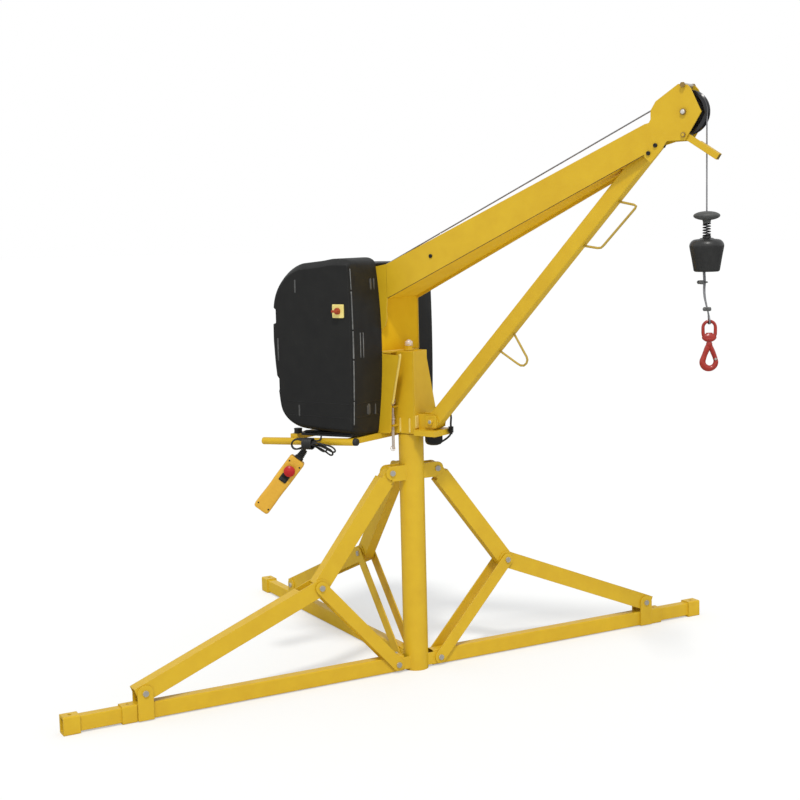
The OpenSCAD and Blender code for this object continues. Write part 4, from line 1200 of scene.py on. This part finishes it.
def makeToneGroup():
    # slow change between two colours, one cloud of noise over another
    g, i, o = newGroup("slowTone", [("Colour A", "Color", (1, 1, 1, 1)), ("Colour B", "Color", (1, 1, 1, 1)),
                                    ("Scale", "Float", 3.0)], [("Colour", "Color"), ("Mask", "Float")])
    place = addNode(g, "TexCoord")
    wide = addNode(g, "TexNoise", {"Vector": place.outputs["Object"], "Scale": i.outputs["Scale"], "Detail": 3.0,
                                   "Roughness": 0.55})
    close = addNode(g, "Math", {0: i.outputs["Scale"], 1: 9.0}, operation="MULTIPLY")
    small = addNode(g, "TexNoise", {"Vector": place.outputs["Object"], "Scale": close.outputs[0], "Detail": 2.0})
    both = addNode(g, "Math", {0: wide.outputs["Fac"], 1: small.outputs["Fac"]}, operation="ADD")
    ramp = addNode(g, "MapRange", {"Value": both.outputs[0], "From Min": 0.75, "From Max": 1.25})
    mix = addNode(g, "Mix", {"Factor": ramp.outputs[0], "A": i.outputs["Colour A"], "B": i.outputs["Colour B"]},
                  data_type="RGBA")
    g.links.new(mix.outputs["Result"], o.inputs["Colour"])
    g.links.new(ramp.outputs[0], o.inputs["Mask"])
    return g


def makeEdgeGroup():
    # how far the softened normal leans from the true one, strongest along edges, broken by noise
    g, i, o = newGroup("edgeWearAndSheen", [("Radius", "Float", 0.003), ("Reach", "Float", 0.35), ("Break", "Float", 120.0)],
                       [("Mask", "Float"), ("Normal", "Vector")])
    soft = addNode(g, "Bevel", {"Radius": i.outputs["Radius"]}, samples=6)
    true = addNode(g, "NewGeometry")
    dot = addNode(g, "VectorMath", {0: soft.outputs["Normal"], 1: true.outputs["Normal"]}, operation="DOT_PRODUCT")
    lean = addNode(g, "Math", {0: 1.0, 1: dot.outputs["Value"]}, operation="SUBTRACT")
    place = addNode(g, "TexCoord")
    noise = addNode(g, "TexNoise", {"Vector": place.outputs["Object"], "Scale": i.outputs["Break"], "Detail": 3.0})
    ragged = addNode(g, "Math", {0: noise.outputs["Fac"], 1: 0.25, 2: -0.12}, operation="MULTIPLY_ADD")
    total = addNode(g, "Math", {0: lean.outputs[0], 1: ragged.outputs[0]}, operation="ADD")
    mask = addNode(g, "MapRange", {"Value": total.outputs[0], "From Min": 0.02, "From Max": i.outputs["Reach"]},
                   interpolation_type="SMOOTHSTEP")
    g.links.new(mask.outputs[0], o.inputs["Mask"])
    g.links.new(soft.outputs["Normal"], o.inputs["Normal"])
    return g


def makeGrainGroup():
    # fine height for paint peel, cast skin or moulded texture: noise and small cells by their shares
    g, i, o = newGroup("skinGrain", [("Scale", "Float", 400.0), ("Cells", "Float", 0.4)], [("Height", "Float")])
    place = addNode(g, "TexCoord")
    noise = addNode(g, "TexNoise", {"Vector": place.outputs["Object"], "Scale": i.outputs["Scale"], "Detail": 4.0})
    cells = addNode(g, "TexVoronoi", {"Vector": place.outputs["Object"], "Scale": i.outputs["Scale"]})
    mix = addNode(g, "Mix", {"Factor": i.outputs["Cells"], "A": noise.outputs["Fac"], "B": cells.outputs["Distance"]})
    g.links.new(mix.outputs["Result"], o.inputs["Height"])
    return g


toneGroup, edgeGroup, grainGroup = makeToneGroup(), makeEdgeGroup(), makeGrainGroup()


plainFinish = dict(
    toneScale=30.0, edge=0.0006, edgeShare=0.5, edgeReach=0.3, edgeBreak=90.0, rough=0.4, grain=900.0, cells=0.3,
    bump=0.1, depth=0.0005, metal=0.0, shine=0.5, coat=0.0, coatRough=0.15,
)


def newFinish(name, colour, second, edgeWearHighlightColour=None, **own):
    # colour from the slow tone, lifted along edges as wear and painted highlight; roughness that varies a little; grain
    # as bump on a softened normal
    s = dict(plainFinish, **own)
    m = bpy.data.materials.new(name)
    m.use_nodes = True
    tree = m.node_tree
    shader = tree.nodes["Principled BSDF"]
    tone = addNode(tree, "Group", {"Colour A": (*colour, 1), "Colour B": (*second, 1), "Scale": s["toneScale"]},
                   node_tree=toneGroup)
    edge = addNode(tree, "Group", {"Radius": s["edge"], "Reach": s["edgeReach"], "Break": s["edgeBreak"]},
                   node_tree=edgeGroup)
    weight = addNode(tree, "Math", {0: edge.outputs["Mask"], 1: s["edgeShare"]}, operation="MULTIPLY")
    edgeWearHighlightTone = (*(edgeWearHighlightColour or colour), 1)
    wornAndLitEdges = addNode(tree, "Mix", {"Factor": weight.outputs[0], "A": tone.outputs["Colour"], "B": edgeWearHighlightTone},
                     data_type="RGBA")
    tree.links.new(wornAndLitEdges.outputs["Result"], shader.inputs["Base Color"])
    rough = addNode(tree, "MapRange", {"Value": tone.outputs["Mask"], "To Min": s["rough"] * 0.9,
                                       "To Max": s["rough"] * 1.12})
    tree.links.new(rough.outputs[0], shader.inputs["Roughness"])
    grain = addNode(tree, "Group", {"Scale": s["grain"], "Cells": s["cells"]}, node_tree=grainGroup)
    bump = addNode(tree, "Bump", {"Height": grain.outputs["Height"], "Normal": edge.outputs["Normal"],
                                  "Strength": s["bump"], "Distance": s["depth"]})
    tree.links.new(bump.outputs["Normal"], shader.inputs["Normal"])
    plain = {"Metallic": "metal", "Specular IOR Level": "shine", "Coat Weight": "coat", "Coat Roughness": "coatRough"}
    for socket, key in plain.items():
        shader.inputs[socket].default_value = s[key]
    return m


# finish of each slot: colour, second colour, colour where edges are lifted as wear and painted highlight, and what
# differs from the plain finish
finishes = dict(
    yellow_paint=newFinish("yellowPaint", (0.670, 0.430, 0.016), (0.625, 0.385, 0.012), (0.76, 0.56, 0.10),
                           toneScale=2.2, edge=0.0022, edgeShare=0.55, grain=260.0, bump=0.06, shine=0.36, coat=0.05),
    zinc=newFinish("zincPlate", (0.64, 0.62, 0.57), (0.54, 0.51, 0.45), (0.8, 0.79, 0.76), toneScale=40.0, edge=0.0008,
                   rough=0.34, bump=0.12, metal=0.55),
    spring_steel=newFinish("springSteel", (0.045, 0.044, 0.043), (0.025, 0.025, 0.025), (0.18, 0.18, 0.18),
                           toneScale=60.0, edge=0.0005, rough=0.42, metal=0.8),
    wire_rope=newFinish("ropeWire", (0.33, 0.33, 0.345), (0.24, 0.24, 0.25), (0.5, 0.5, 0.5), toneScale=55.0,
                        edge=0.0003, rough=0.45, grain=1500.0, bump=0.3, metal=0.35),
    cover_plastic=newFinish("coverPlastic", (0.0185, 0.0185, 0.0178), (0.0150, 0.0150, 0.0150), (0.07, 0.07, 0.068),
                            toneScale=2.0, edge=0.004, edgeShare=0.7, rough=0.5, grain=700.0, cells=0.6, bump=0.16,
                            shine=0.22),
    black_plastic=newFinish("blackPlastic", (0.016, 0.016, 0.016), (0.011, 0.011, 0.011), (0.06, 0.06, 0.06)),
    black_rubber=newFinish("blackRubber", (0.017, 0.017, 0.017), (0.026, 0.026, 0.026), (0.05, 0.05, 0.05),
                           toneScale=45.0, rough=0.62, grain=1200.0, bump=0.2),
    sheave_iron=newFinish("sheaveIron", (0.020, 0.020, 0.021), (0.035, 0.034, 0.034), (0.12, 0.12, 0.12), edge=0.001,
                          rough=0.45, grain=500.0, bump=0.2),
    weight_iron=newFinish("castIron", (0.022, 0.022, 0.022), (0.032, 0.032, 0.031), (0.10, 0.10, 0.10), toneScale=26.0,
                          edge=0.0015, rough=0.36, grain=240.0, cells=0.7, bump=0.22, depth=0.001),
    red_paint=newFinish("redPaint", (0.38, 0.030, 0.016), (0.30, 0.018, 0.014), (0.50, 0.07, 0.04), edge=0.0008,
                        rough=0.3, grain=500.0, coat=0.3),
    red_plastic=newFinish("redPlastic", (0.50, 0.010, 0.012), (0.44, 0.008, 0.010), (0.65, 0.05, 0.05), toneScale=20.0,
                          rough=0.32, bump=0.04),
    orange_plastic=newFinish("orangePlastic", (0.72, 0.40, 0.030), (0.67, 0.36, 0.024), (0.8, 0.52, 0.1),
                             toneScale=14.0, edge=0.001, rough=0.42, bump=0.06),
)
wireYellow = newFinish("wireYellow", (0.50, 0.34, 0.045), (0.44, 0.29, 0.035), (0.60, 0.45, 0.12), toneScale=9.0,
                       edge=0.001, rough=0.5, grain=260.0, bump=0.06)
# finishes of single pieces that differ from the rest of their slot
ownFinish = dict(
    # lighter grey than the cover on its joint beads and ribs: painted highlight along the crease and the ribs
    coverRibs=newFinish("ribHighlightGrey", (0.20, 0.20, 0.195), (0.10, 0.10, 0.10), (0.5, 0.5, 0.48), toneScale=9.0, edge=0.001,
                        grain=700.0),
    # lighter grey than the cover on its clips: painted highlight
    coverClips=newFinish("clipHighlightGrey", (0.10, 0.10, 0.098), (0.05, 0.05, 0.05), (0.26, 0.26, 0.25), toneScale=14.0,
                         edge=0.001, grain=700.0),
    switchPlate=newFinish("paleYellow", (0.86, 0.72, 0.25), (0.80, 0.66, 0.20), (0.9, 0.8, 0.4), toneScale=20.0,
                          bump=0.04),
    switchKnob=newFinish("darkRed", (0.40, 0.055, 0.012), (0.34, 0.04, 0.010), (0.5, 0.12, 0.04), toneScale=20.0,
                         rough=0.35, bump=0.04),
    # lighter copy of the yellow paint on the small ribs: painted highlight
    footRibs=newFinish("ribHighlightYellow", (0.80, 0.62, 0.17), (0.74, 0.54, 0.12), (0.88, 0.75, 0.30), edge=0.001, grain=300.0,
                       bump=0.2),
    # lighter copy of the zinc on the axle's ends: painted highlight
    axleEnds=newFinish("axleEndHighlightZinc", (0.80, 0.77, 0.72), (0.72, 0.68, 0.62), toneScale=40.0, rough=0.3, metal=0.3),
    lockPin=newFinish("brightPin", (0.72, 0.64, 0.58), (0.60, 0.50, 0.42), (0.85, 0.8, 0.76), toneScale=25.0, rough=0.3,
                      metal=0.35),
    ropeClips=newFinish("clipSteel", (0.20, 0.20, 0.195), (0.13, 0.13, 0.13), (0.45, 0.45, 0.44), toneScale=60.0,
                        metal=0.5),
    # lighter, pinkish copy of the zinc on the stud: painted highlight
    pivotStud=newFinish("studHighlightZinc", (0.80, 0.70, 0.66), (0.70, 0.58, 0.52), (0.9, 0.86, 0.84), toneScale=40.0,
                        rough=0.28, metal=0.3),
    # dark brown line under the near side plate: painted shadow of the gap
    boomSeam=newFinish("shadowLineBrown", (0.16, 0.085, 0.010), (0.12, 0.06, 0.008), toneScale=3.0, edge=0.0004, rough=0.7,
                       grain=500.0),
    # lighter copy of the yellow paint on the beads: painted highlight
    boomBeads=newFinish("beadHighlightYellow", (0.76, 0.56, 0.13), (0.70, 0.48, 0.08), (0.85, 0.70, 0.25), edge=0.001,
                        grain=300.0, bump=0.3, shine=0.4),
    axleRings=newFinish("axleBrown", (0.30, 0.19, 0.045), (0.22, 0.135, 0.035), (0.35, 0.25, 0.12), toneScale=40.0,
                        rough=0.5, grain=700.0),
    # more saturated, dull copy of the yellow paint for the boom's underside and the column front: painted shade
    boomFloor=newFinish("shadedYellow", (0.74, 0.445, 0.010), (0.69, 0.40, 0.008), toneScale=2.2, edge=0.002, rough=0.6,
                        grain=260.0, bump=0.06, shine=0.06),
    # darkened yellow in the open end of the lever's box: painted shade of its hollow inside
    leverEnd=newFinish("shadedOlive", (0.17, 0.115, 0.012), (0.12, 0.08, 0.010), rough=0.6, grain=500.0),
    brace_handle=wireYellow, brace_loop=wireYellow, pivot_bolt=finishes["yellow_paint"],
    sheave=newFinish("glossBlack", (0.010, 0.010, 0.012), (0.016, 0.015, 0.018), (0.10, 0.10, 0.11), toneScale=20.0,
                     edge=0.0012, rough=0.2, grain=400.0, bump=0.08, coat=0.4),
    bufferDisc=newFinish("discGrey", (0.060, 0.062, 0.060), (0.095, 0.098, 0.094), (0.16, 0.16, 0.16), toneScale=60.0,
                         edge=0.001, rough=0.55, grain=420.0, bump=0.3),
)
dressed = [(name, node, slotOf[name]) for name, node in nodes.items()]
dressed += [(piece.name, piece, piece["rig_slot"]) for piece in bpy.data.objects
            if piece.type == "MESH" and piece.get("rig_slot") and piece.name not in nodes]
for name, piece, slot in dressed:
    piece.data.materials.clear()
    piece.data.materials.append(ownFinish.get(name, finishes[slot]))
print("finishes set")

# floor, light and background
studio = dict(sky=0.70, sun=1.75, sunFrom=(0.30, -0.46, 0.84), sunSize=7, floorShare=0.58, glossFloor=0.12)


def buildStudio(s):
    mesh = bpy.data.meshes.new("floor")
    mesh.from_pydata([(-400, -400, 0), (400, -400, 0), (400, 400, 0), (-400, 400, 0)], [], [(0, 1, 2, 3)])
    floor = bpy.data.objects.new("floor", mesh)
    bpy.context.scene.collection.objects.link(floor)
    m = bpy.data.materials.new("paleFloor")
    m.use_nodes = True
    tree = m.node_tree
    shader = tree.nodes["Principled BSDF"]
    shader.inputs["Roughness"].default_value = 0.9
    shader.inputs["Specular IOR Level"].default_value = 0.0
    glow = addNode(tree, "Emission", {"Color": (1, 1, 1, 1), "Strength": 1.0})
    ray = addNode(tree, "LightPath")
    dim = s["glossFloor"]
    pale = addNode(tree, "Mix", {"Factor": ray.outputs["Is Glossy Ray"], "A": (0.90, 0.91, 0.91, 1),
                                 "B": (dim, dim, dim, 1)}, data_type="RGBA")
    tree.links.new(pale.outputs["Result"], shader.inputs["Base Color"])
    share = addNode(tree, "Math", {0: ray.outputs["Is Camera Ray"], 1: 1 - s["floorShare"]}, operation="MULTIPLY")
    mix = addNode(tree, "MixShader", {0: share.outputs[0], 1: shader.outputs[0], 2: glow.outputs[0]})
    tree.links.new(mix.outputs[0], tree.nodes["Material Output"].inputs["Surface"])
    mesh.materials.append(m)

    world = bpy.data.worlds.new("studio")
    bpy.context.scene.world = world
    world.use_nodes = True
    tree = world.node_tree
    lit = tree.nodes["Background"]
    lit.inputs["Color"].default_value = (0.97, 0.985, 1, 1)
    lit.inputs["Strength"].default_value = s["sky"]
    seen = addNode(tree, "Background", {"Color": (1, 1, 1, 1), "Strength": 1.0})
    ray = addNode(tree, "LightPath")
    mix = addNode(tree, "MixShader", {0: ray.outputs["Is Camera Ray"], 1: lit.outputs[0], 2: seen.outputs[0]})
    tree.links.new(mix.outputs[0], tree.nodes["World Output"].inputs["Surface"])

    sun = bpy.data.objects.new("sun", bpy.data.lights.new("sun", "SUN"))
    sun.data.energy = s["sun"]
    sun.data.angle = math.radians(s["sunSize"])
    sun.data.color = (1, 0.98, 0.94)
    bpy.context.scene.collection.objects.link(sun)
    sun.rotation_euler = Vector(s["sunFrom"]).to_track_quat("Z", "Y").to_euler()
    bpy.context.scene.view_settings.view_transform = "Standard"


buildStudio(studio)
print("studio ready")
